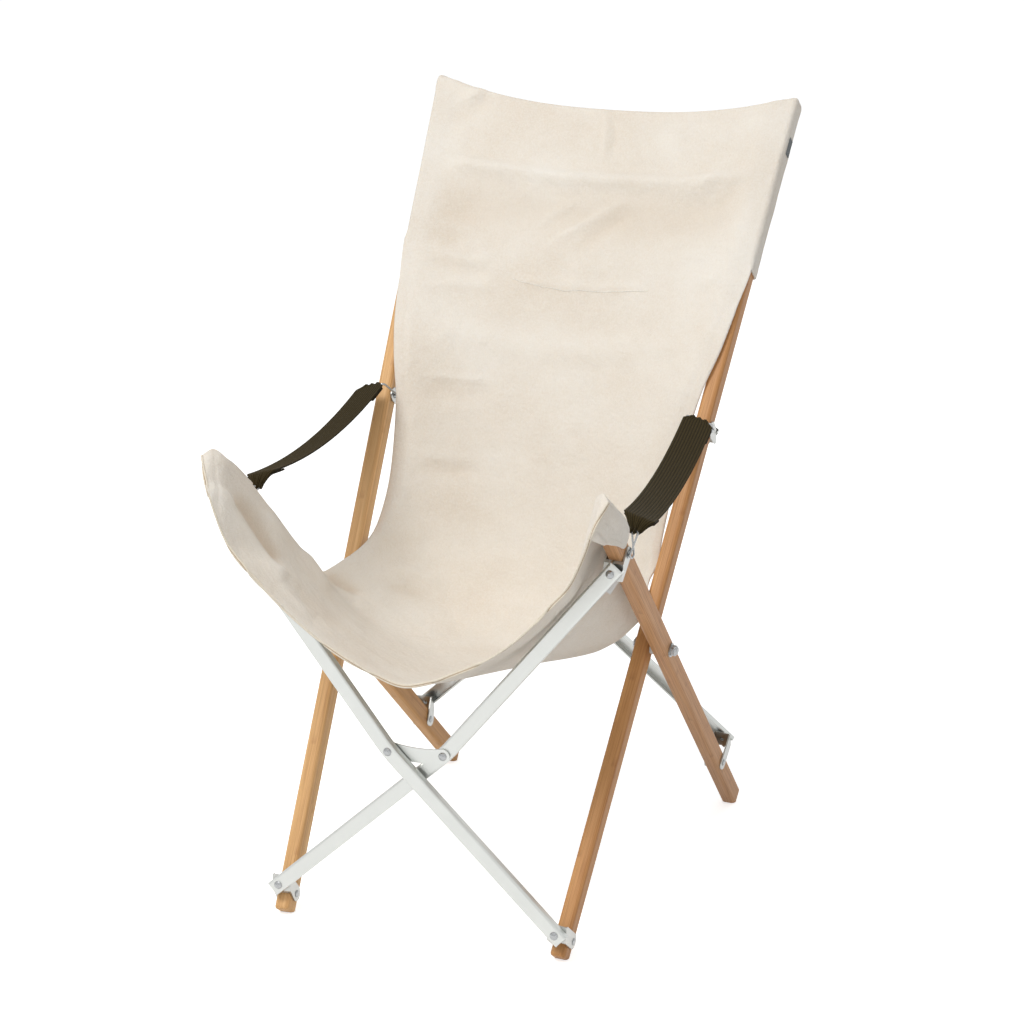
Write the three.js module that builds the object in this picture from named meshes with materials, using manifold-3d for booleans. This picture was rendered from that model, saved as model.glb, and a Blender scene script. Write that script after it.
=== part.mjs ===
// Folding recliner: four bamboo posts, two pairs of crossed aluminium bars and a canvas sling.
// Millimetres and degrees. +X is the sitter's left, -Y is the front, +Z is up, feet on Z = 0.
import * as THREE from 'three';
import { mergeVertices } from 'three/addons/utils/BufferGeometryUtils.js';
import Module from 'manifold-3d';

const wasm = await Module();
wasm.setup();

const degree = Math.PI / 180;

// Driving dimensions of the side frames
const longPostLength = 1078;
const shortLegLength = 818;
const postThickness = 18;
const postDepth = 25;
const postCornerRadius = 5;
const postEndRound = 3;
const postGap = 5;
const pivotHeight = 312;
const pivotHalfWidth = 202;
const longPostLean = 34.3 * degree;
const shortLegLean = 49 * degree;
const splay = 3.6 * degree;
const footCutDepth = 5;
const cutOverrun = 60;

// Fits
const clearance = 0.3;
const holeClearance = 0.3;
const earClearance = 0.45;
const linkClearance = 1.2;

// Pivot bolt
const boltRadius = 3.5;
const boltHeadRadius = 8;
const boltHeadHeight = 3.5;
const boltThreadLength = 7;
const nutRadius = 6.5;
const nutHeight = 9;
const washerRadius = 8.5;
const washerThickness = 1.5;
const spacerRadius = 9;

// Brackets that carry the bars, each hung on a pin through its post
const footPinDistance = 354.7;
const legTopPinFromEnd = 93.87;
const backPinDistance = 274;
const heelPinDistance = 347.8;
const frontRivetOffset = 18.3;
const rearRivetOffset = 16.6;
const earThickness = 1.8;
const webThickness = 1.8;
const earRadius = 9;
const webStart = 8;
const webPastRivet = 9;
const innerWebDistance = 15.5;
const pinRadius = 2.5;
const pinHeadRadius = 4.5;
const pinHeadHeight = 1.3;

// Crossed bars, their links and rivets
const barWidth = 18;
const barDepth = 9;
const barWall = 2;
const barCornerRadius = 2.5;
const barPastRivet = 11;
const barBend = 21;
const barBendLength = 30;
const frontBendShare = 0.522;
const rearBendShare = 0.465;
const linkThickness = 2;
const linkWidth = 17;
const linkSag = 3;
const rivetRadius = 2.6;
const rivetHeadRadius = 5;
const rivetHeadHeight = 2.4;

// Arm straps and the wire that holds them
const strapWidth = 40;
const strapThickness = 2.5;
const strapFrontRise = 24;
const strapFrontBack = 54;
const strapSag = 16;
const strapRearRise = 17;
const strapOutward = 4;
const strapEndLength = 34;
const strapEndThickness = 6;
const wireRadius = 1.6;
const wireBend = 6;

// Canvas
const canvasThickness = 2;
const canvasHemThickness = 3.4;
const hemWidth = 14;
const canvasGap = 0.6;
const hemAboveCrossing = 98.58;
const troughDrop = 40;
const sleeveLength = 226;
const sleeveWall = 1.8;
const sleeveClearance = 0.5;
const pocketToPin = 15.87;
const capRise = 6;
const foldDepth = 3;
const tagWidth = 12;
const tagHeight = 22;
const tagThickness = 1;

// Facets
const cornerSteps = 3;
const roundSides = 12;
const wireSides = 8;

// Colours read from the photograph
const bambooColour = 0xd9a96a;
const steelColour = 0xc9cbcc;
const aluminiumColour = 0xcdd2d0;
const spacerColour = 0xe6e8e6;
const canvasColour = 0xe8ddc9;
const webbingColour = 0x39331f;
const tagColour = 0x777b7c;

const bamboo = () => new THREE.MeshStandardMaterial({ color: bambooColour, roughness: 0.55, metalness: 0 });
const steel = () => new THREE.MeshStandardMaterial({ color: steelColour, roughness: 0.3, metalness: 1 });
const aluminium = () => new THREE.MeshStandardMaterial({ color: aluminiumColour, roughness: 0.4, metalness: 0.9 });
const spacerPlastic = () => new THREE.MeshStandardMaterial({ color: spacerColour, roughness: 0.5, metalness: 0 });
const canvas = () => new THREE.MeshStandardMaterial({ color: canvasColour, roughness: 0.95, metalness: 0 });
const webbing = () => new THREE.MeshStandardMaterial({ color: webbingColour, roughness: 0.9, metalness: 0 });
const grey = () => new THREE.MeshStandardMaterial({ color: tagColour, roughness: 0.8, metalness: 0 });

// Side frame, seen in its own plane: X is outward, Y is back and Z is up, from the pivot bolt's centre.
const planeOffset = (postThickness + postGap) / 2;
const longUp = new THREE.Vector3(0, Math.sin(longPostLean), Math.cos(longPostLean));
const legUp = new THREE.Vector3(0, -Math.sin(shortLegLean), Math.cos(shortLegLean));
const longPlane = new THREE.Vector3(-planeOffset, 0, 0);
const legPlane = new THREE.Vector3(planeOffset, 0, 0);
const along = (origin, direction, distance) => origin.clone().addScaledVector(direction, distance);

const frameMatrix = new THREE.Matrix4()
  .makeRotationY(splay)
  .setPosition(pivotHalfWidth, 0, pivotHeight);
const toWorld = (point) => point.clone().applyMatrix4(frameMatrix);

// A post's end is square, so its lowest corner goes into the floor by the depth of the foot's flat cut.
const floorDistance = (plane, direction, lean) => {
  const start = toWorld(plane).z;
  const drop = direction.z * Math.cos(splay);
  return (start + footCutDepth - (postDepth / 2) * Math.sin(lean)) / drop;
};
const longBelow = floorDistance(longPlane, longUp, longPostLean);
const legBelow = floorDistance(legPlane, legUp, shortLegLean);
const longAbove = longPostLength - longBelow;
const legAbove = shortLegLength - legBelow;
const legTopPinDistance = legAbove - legTopPinFromEnd;
const pocketLength = legTopPinFromEnd - pocketToPin;

const footPin = along(longPlane, longUp, -footPinDistance);
const legTopPin = along(legPlane, legUp, legTopPinDistance);
const backPin = along(longPlane, longUp, backPinDistance);
const heelPin = along(legPlane, legUp, -heelPinDistance);
const leanOf = (low, high) => Math.atan2(high.y - low.y, high.z - low.z);
const frontLean = leanOf(footPin, legTopPin);
const rearLean = leanOf(heelPin, backPin);

// The sling's front hem and its trough keep their heights over the place where the front bars cross.
const lowPinInPlace = toWorld(footPin);
const highPinInPlace = toWorld(legTopPin);
const crossingShare = lowPinInPlace.x / (lowPinInPlace.x + highPinInPlace.x);
const hemHeight = lowPinInPlace.lerp(highPinInPlace, crossingShare).z + hemAboveCrossing;
const seatLowHeight = hemHeight - troughDrop;

function toSolid(geometry) {
  const plain = geometry.clone();
  plain.deleteAttribute('normal');
  plain.deleteAttribute('uv');
  const merged = mergeVertices(plain);
  return new wasm.Manifold(new wasm.Mesh({
    numProp: 3,
    vertProperties: new Float32Array(merged.attributes.position.array),
    triVerts: new Uint32Array(merged.index.array),
  }));
}

function toGeometry(solid) {
  const mesh = solid.getMesh();
  const geometry = new THREE.BufferGeometry();
  geometry.setAttribute('position', new THREE.BufferAttribute(new Float32Array(mesh.vertProperties), 3));
  geometry.setIndex(new THREE.BufferAttribute(new Uint32Array(mesh.triVerts), 1));
  geometry.computeVertexNormals();
  return geometry;
}

function cut(geometry, cutters) {
  let solid = toSolid(geometry);
  for (const cutter of cutters) {
    solid = solid.subtract(toSolid(cutter));
  }
  return toGeometry(solid);
}

function part(name, geometry, material) {
  const mesh = new THREE.Mesh(geometry, material);
  mesh.name = name;
  return mesh;
}

function roundedRectangle(width, height, radius) {
  const x = width / 2 - radius;
  const y = height / 2 - radius;
  const shape = new THREE.Shape();
  shape.absarc(x, y, radius, 0, Math.PI / 2);
  shape.absarc(-x, y, radius, Math.PI / 2, Math.PI);
  shape.absarc(-x, -y, radius, Math.PI, Math.PI * 1.5);
  shape.absarc(x, -y, radius, Math.PI * 1.5, Math.PI * 2);
  shape.closePath();
  return shape;
}

// Turned piece whose profile lists [place along the axis, radius], both ends on the axis.
function turned(profile, axis) {
  const points = profile.map(([place, radius]) => new THREE.Vector2(radius, place));
  const geometry = new THREE.LatheGeometry(points, roundSides);
  if (axis === 'x') {
    geometry.rotateZ(-Math.PI / 2);
  }
  return geometry;
}

function hole(radius, length, axis) {
  const geometry = new THREE.CylinderGeometry(radius, radius, length, roundSides);
  if (axis === 'x') {
    geometry.rotateZ(Math.PI / 2);
  }
  return geometry;
}

// Bar of bamboo along Z with rounded edges and ends, from below the pivot to above it.
function postBlank(below, above) {
  const geometry = new THREE.ExtrudeGeometry(roundedRectangle(postThickness, postDepth, postCornerRadius), {
    depth: below + above - 2 * postEndRound,
    curveSegments: cornerSteps,
    bevelEnabled: true,
    bevelThickness: postEndRound,
    bevelSize: postEndRound,
    bevelOffset: -postEndRound,
    bevelSegments: 2,
  });
  geometry.translate(0, 0, postEndRound - below);
  return geometry;
}

function postGeometry(below, above, placement, pinPlaces) {
  const cutters = [hole(boltRadius + holeClearance, postThickness * 2, 'x')];
  for (const place of pinPlaces) {
    cutters.push(hole(pinRadius + holeClearance, postThickness * 2, 'x').translate(0, 0, place));
  }
  const floor = new THREE.BoxGeometry(longPostLength, longPostLength, cutOverrun);
  const inPlace = new THREE.Matrix4().multiplyMatrices(frameMatrix, placement).invert();
  cutters.push(floor.translate(pivotHalfWidth, 0, -cutOverrun / 2).applyMatrix4(inPlace));
  return cut(postBlank(below, above), cutters);
}

function placedPost(name, below, above, plane, lean, pinPlaces) {
  const placement = new THREE.Matrix4().makeRotationX(-lean).setPosition(plane);
  const mesh = part(name, postGeometry(below, above, placement, pinPlaces), bamboo());
  mesh.position.copy(plane);
  mesh.rotation.x = -lean;
  return mesh;
}

function pivotPieces(side) {
  const outer = planeOffset + postThickness / 2;
  const headFace = outer + clearance;
  const end = headFace + washerThickness + boltThreadLength;
  const bolt = turned([
    [-headFace - boltHeadHeight, 0],
    [-headFace - boltHeadHeight, boltHeadRadius * 0.6],
    [-headFace - boltHeadHeight * 0.4, boltHeadRadius],
    [-headFace, boltHeadRadius],
    [-headFace, boltRadius],
    [end, boltRadius],
    [end, 0],
  ], 'x');
  const nutBore = boltRadius + clearance;
  const nut = turned([
    [headFace, nutBore],
    [headFace, washerRadius],
    [headFace + washerThickness, washerRadius],
    [headFace + washerThickness, nutRadius],
    [headFace + nutHeight * 0.7, nutRadius],
    [headFace + nutHeight, nutRadius * 0.5],
    [headFace + nutHeight + clearance, 0],
    [end + clearance, 0],
    [end + clearance, nutBore],
    [headFace, nutBore],
  ], 'x');
  const half = postGap / 2 - clearance;
  const spacer = turned([
    [-half, nutBore],
    [-half, spacerRadius],
    [half, spacerRadius],
    [half, nutBore],
    [-half, nutBore],
  ], 'x');
  return [
    part(`${side}_pivot_bolt`, bolt, steel()),
    part(`${side}_pivot_nut`, nut, steel()),
    part(`${side}_pivot_spacer`, spacer, spacerPlastic()),
  ];
}

// Channel bracket: two ears on the pin, joined by a web that stands clear of the post's face.
// u runs out to the web's face, v runs along the bars towards the middle of the post pair.
function earShape(reach, rivetOffset) {
  const far = rivetOffset + webPastRivet;
  const turn = (u, v) => {
    const spread = Math.acos(earRadius / Math.hypot(u, v));
    return { low: Math.atan2(v, u) - spread, high: Math.atan2(v, u) + spread };
  };
  const shape = new THREE.Shape();
  shape.moveTo(reach, webStart);
  shape.lineTo(reach, far);
  shape.lineTo(reach - webThickness * 2, far);
  const start = turn(reach - webThickness * 2, far).high;
  const end = turn(reach, webStart).low + 2 * Math.PI;
  shape.absarc(0, 0, earRadius, start, end);
  shape.closePath();
  return shape;
}

function bracketGeometry(reach, rivetOffset, outward, inward) {
  const inner = postThickness / 2 + earClearance;
  const width = 2 * (inner + earThickness);
  const far = rivetOffset + webPastRivet;
  const channel = new THREE.ExtrudeGeometry(earShape(reach, rivetOffset), {
    depth: width,
    curveSegments: 2 * cornerSteps,
    bevelEnabled: false,
  });
  channel.translate(0, 0, -width / 2);
  const core = new THREE.BoxGeometry(2 * reach, 4 * far, 2 * inner);
  core.translate(-webThickness, 0, 0);
  const solid = cut(channel, [
    core,
    hole(pinRadius + holeClearance, 2 * width, 'y').rotateX(Math.PI / 2),
    hole(rivetRadius + holeClearance, 2 * reach, 'x').translate(reach, rivetOffset, 0),
  ]);
  const basis = new THREE.Matrix4().makeBasis(
    new THREE.Vector3(0, outward, 0),
    new THREE.Vector3(0, 0, inward),
    new THREE.Vector3(outward * inward, 0, 0),
  );
  return solid.applyMatrix4(basis);
}

function pinGeometry() {
  const half = postThickness / 2 + earClearance + earThickness + clearance;
  return turned([
    [-half - pinHeadHeight, 0],
    [-half - pinHeadHeight, pinHeadRadius * 0.6],
    [-half, pinHeadRadius],
    [-half, pinRadius],
    [half, pinRadius],
    [half, pinHeadRadius],
    [half + pinHeadHeight, pinHeadRadius * 0.6],
    [half + pinHeadHeight, 0],
  ], 'x');
}

const outerWebDistance = innerWebDistance + barDepth + linkThickness + 2 * clearance + linkClearance;
const webDistance = { inner: innerWebDistance, outer: outerWebDistance };

function bracketPieces(name, place, lean, layer, rivetOffset, outward, inward) {
  const group = new THREE.Group();
  group.position.copy(place);
  group.rotation.x = -lean;
  const geometry = bracketGeometry(webDistance[layer], rivetOffset, outward, inward);
  group.add(part(`${name}_bracket`, geometry, steel()));
  group.add(part(`${name}_pin`, pinGeometry(), steel()));
  return group;
}

const barAtFront = { right: { foot: 'outer', top: 'inner' }, left: { foot: 'inner', top: 'outer' } };
const barAtRear = { right: { back: 'inner', heel: 'outer' }, left: { back: 'outer', heel: 'inner' } };

// Closed tube around a post, shut at the top by a sewn end.
function capGeometry(length, above, rise) {
  const hollow = sleeveClearance;
  const outerWidth = postThickness + 2 * (hollow + sleeveWall);
  const outerDepth = postDepth + 2 * (hollow + sleeveWall);
  const total = length + rise;
  const outerShape = roundedRectangle(outerWidth, outerDepth, postCornerRadius + sleeveWall);
  const innerShape = roundedRectangle(postThickness + 2 * hollow, postDepth + 2 * hollow, postCornerRadius);
  const outer = new THREE.ExtrudeGeometry(outerShape, {
    depth: total - sleeveWall,
    curveSegments: cornerSteps,
    bevelEnabled: true,
    bevelThickness: sleeveWall,
    bevelSize: sleeveWall,
    bevelOffset: -sleeveWall,
    bevelSegments: 1,
  });
  outer.translate(0, 0, above - length);
  const inner = new THREE.ExtrudeGeometry(innerShape, {
    depth: length + cutOverrun + clearance,
    curveSegments: cornerSteps,
    bevelEnabled: false,
  });
  inner.translate(0, 0, above - length - cutOverrun);
  return cut(outer, [inner]);
}

// Strip with round edges left square, from places, half widths and thicknesses along a surface.
function sheetGeometry(pointAt, stepsAcross, stepsAlong, thicknessAt) {
  const positions = [];
  const indices = [];
  const small = 1e-4;
  const normalAt = (u, t) => {
    const back = pointAt(Math.max(u - small, 0), t);
    const front = pointAt(Math.min(u + small, 1), t);
    const low = pointAt(u, Math.max(t - small, 0));
    const high = pointAt(u, Math.min(t + small, 1));
    return front.sub(back).cross(high.sub(low)).normalize();
  };
  const row = stepsAcross + 1;
  for (const face of [1, -1]) {
    for (let j = 0; j <= stepsAlong; j += 1) {
      for (let i = 0; i <= stepsAcross; i += 1) {
        const u = i / stepsAcross;
        const t = j / stepsAlong;
        const point = pointAt(u, t).addScaledVector(normalAt(u, t), face * thicknessAt(u, t) / 2);
        positions.push(point.x, point.y, point.z);
      }
    }
  }
  const layer = row * (stepsAlong + 1);
  const at = (face, i, j) => face * layer + j * row + i;
  const quad = (a, b, c, d) => indices.push(a, b, c, a, c, d);
  for (let j = 0; j < stepsAlong; j += 1) {
    for (let i = 0; i < stepsAcross; i += 1) {
      quad(at(0, i, j), at(0, i + 1, j), at(0, i + 1, j + 1), at(0, i, j + 1));
      quad(at(1, i, j), at(1, i, j + 1), at(1, i + 1, j + 1), at(1, i + 1, j));
    }
  }
  for (let i = 0; i < stepsAcross; i += 1) {
    quad(at(0, i, 0), at(1, i, 0), at(1, i + 1, 0), at(0, i + 1, 0));
    quad(at(0, i + 1, stepsAlong), at(1, i + 1, stepsAlong), at(1, i, stepsAlong), at(0, i, stepsAlong));
  }
  for (let j = 0; j < stepsAlong; j += 1) {
    quad(at(0, 0, j + 1), at(1, 0, j + 1), at(1, 0, j), at(0, 0, j));
    quad(at(0, stepsAcross, j), at(1, stepsAcross, j), at(1, stepsAcross, j + 1), at(0, stepsAcross, j + 1));
  }
  const geometry = new THREE.BufferGeometry();
  geometry.setAttribute('position', new THREE.BufferAttribute(new Float32Array(positions), 3));
  geometry.setIndex(indices);
  geometry.computeVertexNormals();
  return geometry;
}

// Arm strap from the wire behind the leg's top bracket to the wire on the back bracket's pin.
const strapPlane = planeOffset + strapOutward;
const strapFront = new THREE.Vector3(strapPlane, legTopPin.y + strapFrontBack, legTopPin.z + strapFrontRise);
const strapRear = new THREE.Vector3(-planeOffset + strapOutward, backPin.y - postDepth / 2, backPin.z + strapRearRise);

function strapGeometry() {
  const middle = strapFront.clone().lerp(strapRear, 0.5);
  middle.z -= strapSag * 2;
  const curve = new THREE.QuadraticBezierCurve3(strapFront, middle, strapRear);
  const endShare = strapEndLength / strapFront.distanceTo(strapRear);
  const pointAt = (u, t) => {
    const point = curve.getPoint(t);
    point.x += (0.5 - u) * strapWidth;
    return point;
  };
  const thicknessAt = (u, t) => (Math.min(t, 1 - t) < endShare ? strapEndThickness : strapThickness);
  return sheetGeometry(pointAt, 4, 24, thicknessAt);
}

function wireGeometry([start, turn, end]) {
  const bendIn = turn.clone().lerp(start, wireBend / turn.distanceTo(start));
  const bendOut = turn.clone().lerp(end, wireBend / turn.distanceTo(end));
  const path = new THREE.CurvePath();
  path.add(new THREE.LineCurve3(start, bendIn));
  path.add(new THREE.QuadraticBezierCurve3(bendIn, turn, bendOut));
  path.add(new THREE.LineCurve3(bendOut, end));
  const section = new THREE.Shape();
  section.absarc(0, 0, wireRadius, 0, Math.PI * 2);
  return new THREE.ExtrudeGeometry(section, {
    steps: 12,
    curveSegments: wireSides,
    extrudePath: path,
    bevelEnabled: false,
  });
}

// Each wire comes off its pin's outer head, runs to the strap's end and turns in under it.
function strapWires(side) {
  const headOuter = postThickness / 2 + earClearance + earThickness + pinHeadHeight + 2 * clearance;
  const under = strapEndThickness / 2 + wireRadius + 3 * clearance;
  const hookStart = legTopPin.clone();
  hookStart.x += headOuter + wireRadius;
  const hookEnd = strapFront.clone();
  hookEnd.z -= under;
  const hookTurn = new THREE.Vector3(hookStart.x, hookEnd.y, hookEnd.z);
  const ringStart = backPin.clone();
  ringStart.x += headOuter + wireRadius;
  const ringEnd = strapRear.clone();
  ringEnd.z -= under;
  const ringTurn = new THREE.Vector3(ringStart.x, ringEnd.y, ringEnd.z);
  return [
    part(`${side}_strap_hook`, wireGeometry([hookStart, hookTurn, hookEnd]), steel()),
    part(`${side}_strap_ring`, wireGeometry([ringStart, ringTurn, ringEnd]), steel()),
  ];
}

function sideFrame(side) {
  const frame = new THREE.Group();
  frame.position.set(pivotHalfWidth, 0, pivotHeight);
  frame.rotation.y = splay;
  const longPins = [-footPinDistance, backPinDistance];
  const legPins = [legTopPinDistance, -heelPinDistance];
  const longPost = placedPost(`${side}_long_post`, longBelow, longAbove, longPlane, longPostLean, longPins);
  const shortLeg = placedPost(`${side}_short_leg`, legBelow, legAbove, legPlane, -shortLegLean, legPins);
  const sleeve = part(`${side}_back_sleeve`, capGeometry(sleeveLength, longAbove, capRise), canvas());
  sleeve.position.copy(longPlane);
  sleeve.rotation.x = -longPostLean;
  const pocket = part(`${side}_front_pocket`, capGeometry(pocketLength, legAbove, capRise), canvas());
  pocket.position.copy(legPlane);
  pocket.rotation.x = shortLegLean;
  frame.add(longPost, shortLeg, sleeve, pocket, ...pivotPieces(side), ...strapWires(side));
  const front = barAtFront[side];
  const rear = barAtRear[side];
  frame.add(
    bracketPieces(`${side}_foot`, footPin, frontLean, front.foot, frontRivetOffset, -1, 1),
    bracketPieces(`${side}_leg_top`, legTopPin, frontLean, front.top, frontRivetOffset, -1, -1),
    bracketPieces(`${side}_back`, backPin, rearLean, rear.back, rearRivetOffset, 1, -1),
    bracketPieces(`${side}_heel`, heelPin, rearLean, rear.heel, rearRivetOffset, 1, 1),
    part(`${side}_arm_strap`, strapGeometry(), webbing()),
  );
  return frame;
}

// Crossed pair of bars between four brackets. The pair's own plane has X across and Z up along it.
function crossedBars(name, lowPin, highPin, rivetOffset, bendShare, outward) {
  const inPlane = highPin.clone().sub(lowPin);
  inPlane.x = 0;
  inPlane.normalize();
  const low = toWorld(along(lowPin, inPlane, rivetOffset));
  const high = toWorld(along(highPin, inPlane, -rivetOffset));
  const group = new THREE.Group();
  const lean = leanOf(low, high);
  group.position.set(0, low.y, low.z);
  group.rotation.x = -lean;
  const rise = Math.hypot(high.y - low.y, high.z - low.z);
  const layerFace = (layer) => outward * (webDistance[layer] + clearance);

  const bar = (layer, side) => {
    const top = new THREE.Vector2(side * high.x, rise);
    const bottom = new THREE.Vector2(-side * low.x, 0);
    const chord = bottom.clone().sub(top);
    const across = new THREE.Vector2(-chord.y, chord.x).normalize().multiplyScalar(side);
    const bend = top.clone().addScaledVector(chord, bendShare).addScaledVector(across, barBend);
    return { top, bottom, bend, layer, side, face: layerFace(layer) };
  };
  const inner = bar('inner', 1);
  const outer = bar('outer', -1);
  for (const piece of [inner, outer]) {
    group.add(part(`${name}_${piece.layer}_bar`, barGeometry(piece, outward), aluminium()));
    group.add(rivetAt(`${name}_${piece.layer}_top_rivet`, piece, piece.top, outward));
    group.add(rivetAt(`${name}_${piece.layer}_bottom_rivet`, piece, piece.bottom, outward));
  }
  group.add(rivetAt(`${name}_link_outer_rivet`, outer, outer.bend, outward));
  group.add(...linkPieces(name, inner, outer, outward));
  return group;
}

function barPath(piece, past) {
  const fromTop = piece.bend.clone().sub(piece.top).normalize();
  const toBottom = piece.bottom.clone().sub(piece.bend).normalize();
  const start = piece.top.clone().addScaledVector(fromTop, -past);
  const end = piece.bottom.clone().addScaledVector(toBottom, past);
  const bendIn = piece.bend.clone().addScaledVector(fromTop, -barBendLength / 2);
  const bendOut = piece.bend.clone().addScaledVector(toBottom, barBendLength / 2);
  const bend = new THREE.QuadraticBezierCurve(bendIn, piece.bend, bendOut);
  return [start, ...bend.getPoints(4), end];
}

function stripShape(path, halfWidth) {
  const left = [];
  const right = [];
  path.forEach((point, i) => {
    const before = path[Math.max(i - 1, 0)];
    const after = path[Math.min(i + 1, path.length - 1)];
    const direction = after.clone().sub(before).normalize();
    const normal = new THREE.Vector2(-direction.y, direction.x);
    left.push(point.clone().addScaledVector(normal, halfWidth));
    right.push(point.clone().addScaledVector(normal, -halfWidth));
  });
  return new THREE.Shape([...left, ...right.reverse()]);
}

// Turns a shape drawn across and up into a plate that starts at a depth and grows outward.
function plateGeometry(shape, start, depth, outward, bevel) {
  const geometry = new THREE.ExtrudeGeometry(shape, {
    depth: depth - bevel,
    bevelEnabled: bevel > 0,
    bevelThickness: bevel,
    bevelSize: bevel,
    bevelOffset: -bevel,
    bevelSegments: 2,
    curveSegments: roundSides / 2,
  });
  geometry.rotateX(Math.PI / 2);
  if (outward > 0) {
    geometry.scale(1, -1, 1);
    const index = mergeVertices(geometry);
    const flipped = index.index.array;
    for (let i = 0; i < flipped.length; i += 3) {
      [flipped[i], flipped[i + 1]] = [flipped[i + 1], flipped[i]];
    }
    index.translate(0, start, 0);
    return index;
  }
  geometry.translate(0, start, 0);
  return geometry;
}

// Channel section, open towards the posts.
function barGeometry(piece, outward) {
  const outside = stripShape(barPath(piece, barPastRivet), barWidth / 2);
  const inside = stripShape(barPath(piece, barPastRivet * 2), barWidth / 2 - barWall);
  const blank = plateGeometry(outside, piece.face, barDepth, outward, barCornerRadius);
  const back = plateGeometry(outside, piece.face, barDepth, outward, 0);
  const hollow = plateGeometry(inside, piece.face - outward * barWall, barDepth, outward, 0);
  const solid = toSolid(blank).intersect(toSolid(back)).subtract(toSolid(hollow));
  const holes = [piece.top, piece.bend, piece.bottom].map((place) => (
    hole(rivetRadius + holeClearance, 4 * barDepth, 'y').translate(place.x, piece.face, place.y)
  ));
  return cut(toGeometry(solid), holes);
}

// Domed rivet on a bar's outer face, its shank ending inside the bar, short of what lies behind.
function rivetAt(name, piece, place, outward) {
  const face = piece.face + outward * (barDepth + clearance);
  const geometry = turned([
    [-barDepth, 0],
    [-barDepth, rivetRadius],
    [0, rivetRadius],
    [0, rivetHeadRadius],
    [rivetHeadHeight * 0.6, rivetHeadRadius * 0.75],
    [rivetHeadHeight, rivetHeadRadius * 0.3],
    [rivetHeadHeight, 0],
  ], 'y');
  if (outward < 0) {
    geometry.rotateX(Math.PI);
  }
  const mesh = part(name, geometry, steel());
  mesh.position.set(place.x, face, place.y);
  return mesh;
}

// Bowed link plate between the two bars, riveted to the inner bar.
function linkPieces(name, inner, outer, outward) {
  const start = inner.face + outward * (barDepth + clearance);
  const half = Math.abs(inner.bend.x);
  const radius = linkWidth / 2;
  const height = inner.bend.y;
  const shape = new THREE.Shape();
  shape.absarc(half, height, radius, -Math.PI / 2, Math.PI / 2);
  shape.quadraticCurveTo(0, height + radius - 2 * linkSag, -half, height + radius);
  shape.absarc(-half, height, radius, Math.PI / 2, Math.PI * 1.5);
  shape.quadraticCurveTo(0, height - radius - 2 * linkSag, half, height - radius);
  const holes = [half, -half].map((x) => (
    hole(rivetRadius + holeClearance, 4 * linkThickness, 'y').translate(x, start, height)
  ));
  const plate = cut(plateGeometry(shape, start, linkThickness, outward, 0), holes);
  const rivetFace = { face: start + outward * (linkThickness - barDepth) };
  return [
    part(`${name}_link`, plate, aluminium()),
    rivetAt(`${name}_link_inner_rivet`, rivetFace, inner.bend, outward),
  ];
}

// Canvas sling: places of its side edge against the posts and of its middle line, from top to front.
const onLongPost = (alongShare, outShare, frontShare) => {
  const point = along(longPlane, longUp, alongShare * longAbove);
  point.x += outShare * postThickness;
  point.y -= frontShare * postDepth * Math.cos(longPostLean);
  point.z += frontShare * postDepth * Math.sin(longPostLean);
  return toWorld(point);
};
const onShortLeg = (alongShare, outShare, upShare) => {
  const point = along(legPlane, legUp, alongShare * legAbove);
  point.x += outShare * postThickness;
  point.y += upShare * postDepth * Math.cos(shortLegLean);
  point.z += upShare * postDepth * Math.sin(shortLegLean);
  return toWorld(point);
};
const panelFrontShare = (postDepth / 2 + sleeveClearance + sleeveWall + canvasGap + canvasHemThickness / 2)
  / postDepth;
const pocketInnerShare = -(postThickness / 2 + sleeveClearance + sleeveWall + canvasGap
  + canvasHemThickness / 2) / postThickness;

const backEdgeShares = [
  [1, 0.62, panelFrontShare],
  [0.85, 0.62, panelFrontShare],
  [0.676, 0.6, panelFrontShare],
  [0.605, 0.3, panelFrontShare],
  [0.52, -0.02, panelFrontShare],
  [0.45, -0.5, 0.62],
  [0.38, -0.9, 0.1],
  [0.25, -1.12, -0.54],
  [0.185, -1.0, -0.6],
  [0.146, -0.8, -0.49],
  [0.109, -0.74, 0.26],
];
const seatEdgeShares = [
  [0.105, -1.62, 1.81],
  [0.233, -1.0, 0.16],
  [0.55, pocketInnerShare, 0.3],
  [0.8, pocketInnerShare, 0.2],
  [1, pocketInnerShare, 0],
];
const legReach = -toWorld(along(legPlane, legUp, legAbove)).y;
const middleShares = [
  [1.43, 2.8],
  [1.24, 2.545],
  [1.03, 2.255],
  [0.94, 2.12],
  [0.845, 1.97],
  [0.76, 1.83],
  [0.675, 1.67],
  [0.545, 1.34],
  [0.445, 1.12],
  [0.34, 0.99],
  [0.18, 0.915],
];

const canvasEdge = new THREE.CatmullRomCurve3([
  ...backEdgeShares.map(([a, n, f]) => onLongPost(a, n, f)),
  ...seatEdgeShares.map(([a, n, f]) => onShortLeg(a, n, f)),
], false, 'centripetal');
const canvasMiddle = new THREE.CatmullRomCurve3([
  ...middleShares.map(([back, up]) => new THREE.Vector3(0, back * legReach, up * pivotHeight)),
  new THREE.Vector3(0, 0.03 * legReach, seatLowHeight),
  new THREE.Vector3(0, -0.22 * legReach, seatLowHeight + (hemHeight - seatLowHeight) * 0.08),
  new THREE.Vector3(0, -0.5 * legReach, seatLowHeight + (hemHeight - seatLowHeight) * 0.3),
  new THREE.Vector3(0, -0.76 * legReach, seatLowHeight + (hemHeight - seatLowHeight) * 0.62),
  new THREE.Vector3(0, -legReach, hemHeight),
], false, 'centripetal');
const stationCount = backEdgeShares.length + seatEdgeShares.length - 1;
const lowStation = middleShares.length / stationCount;

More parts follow.
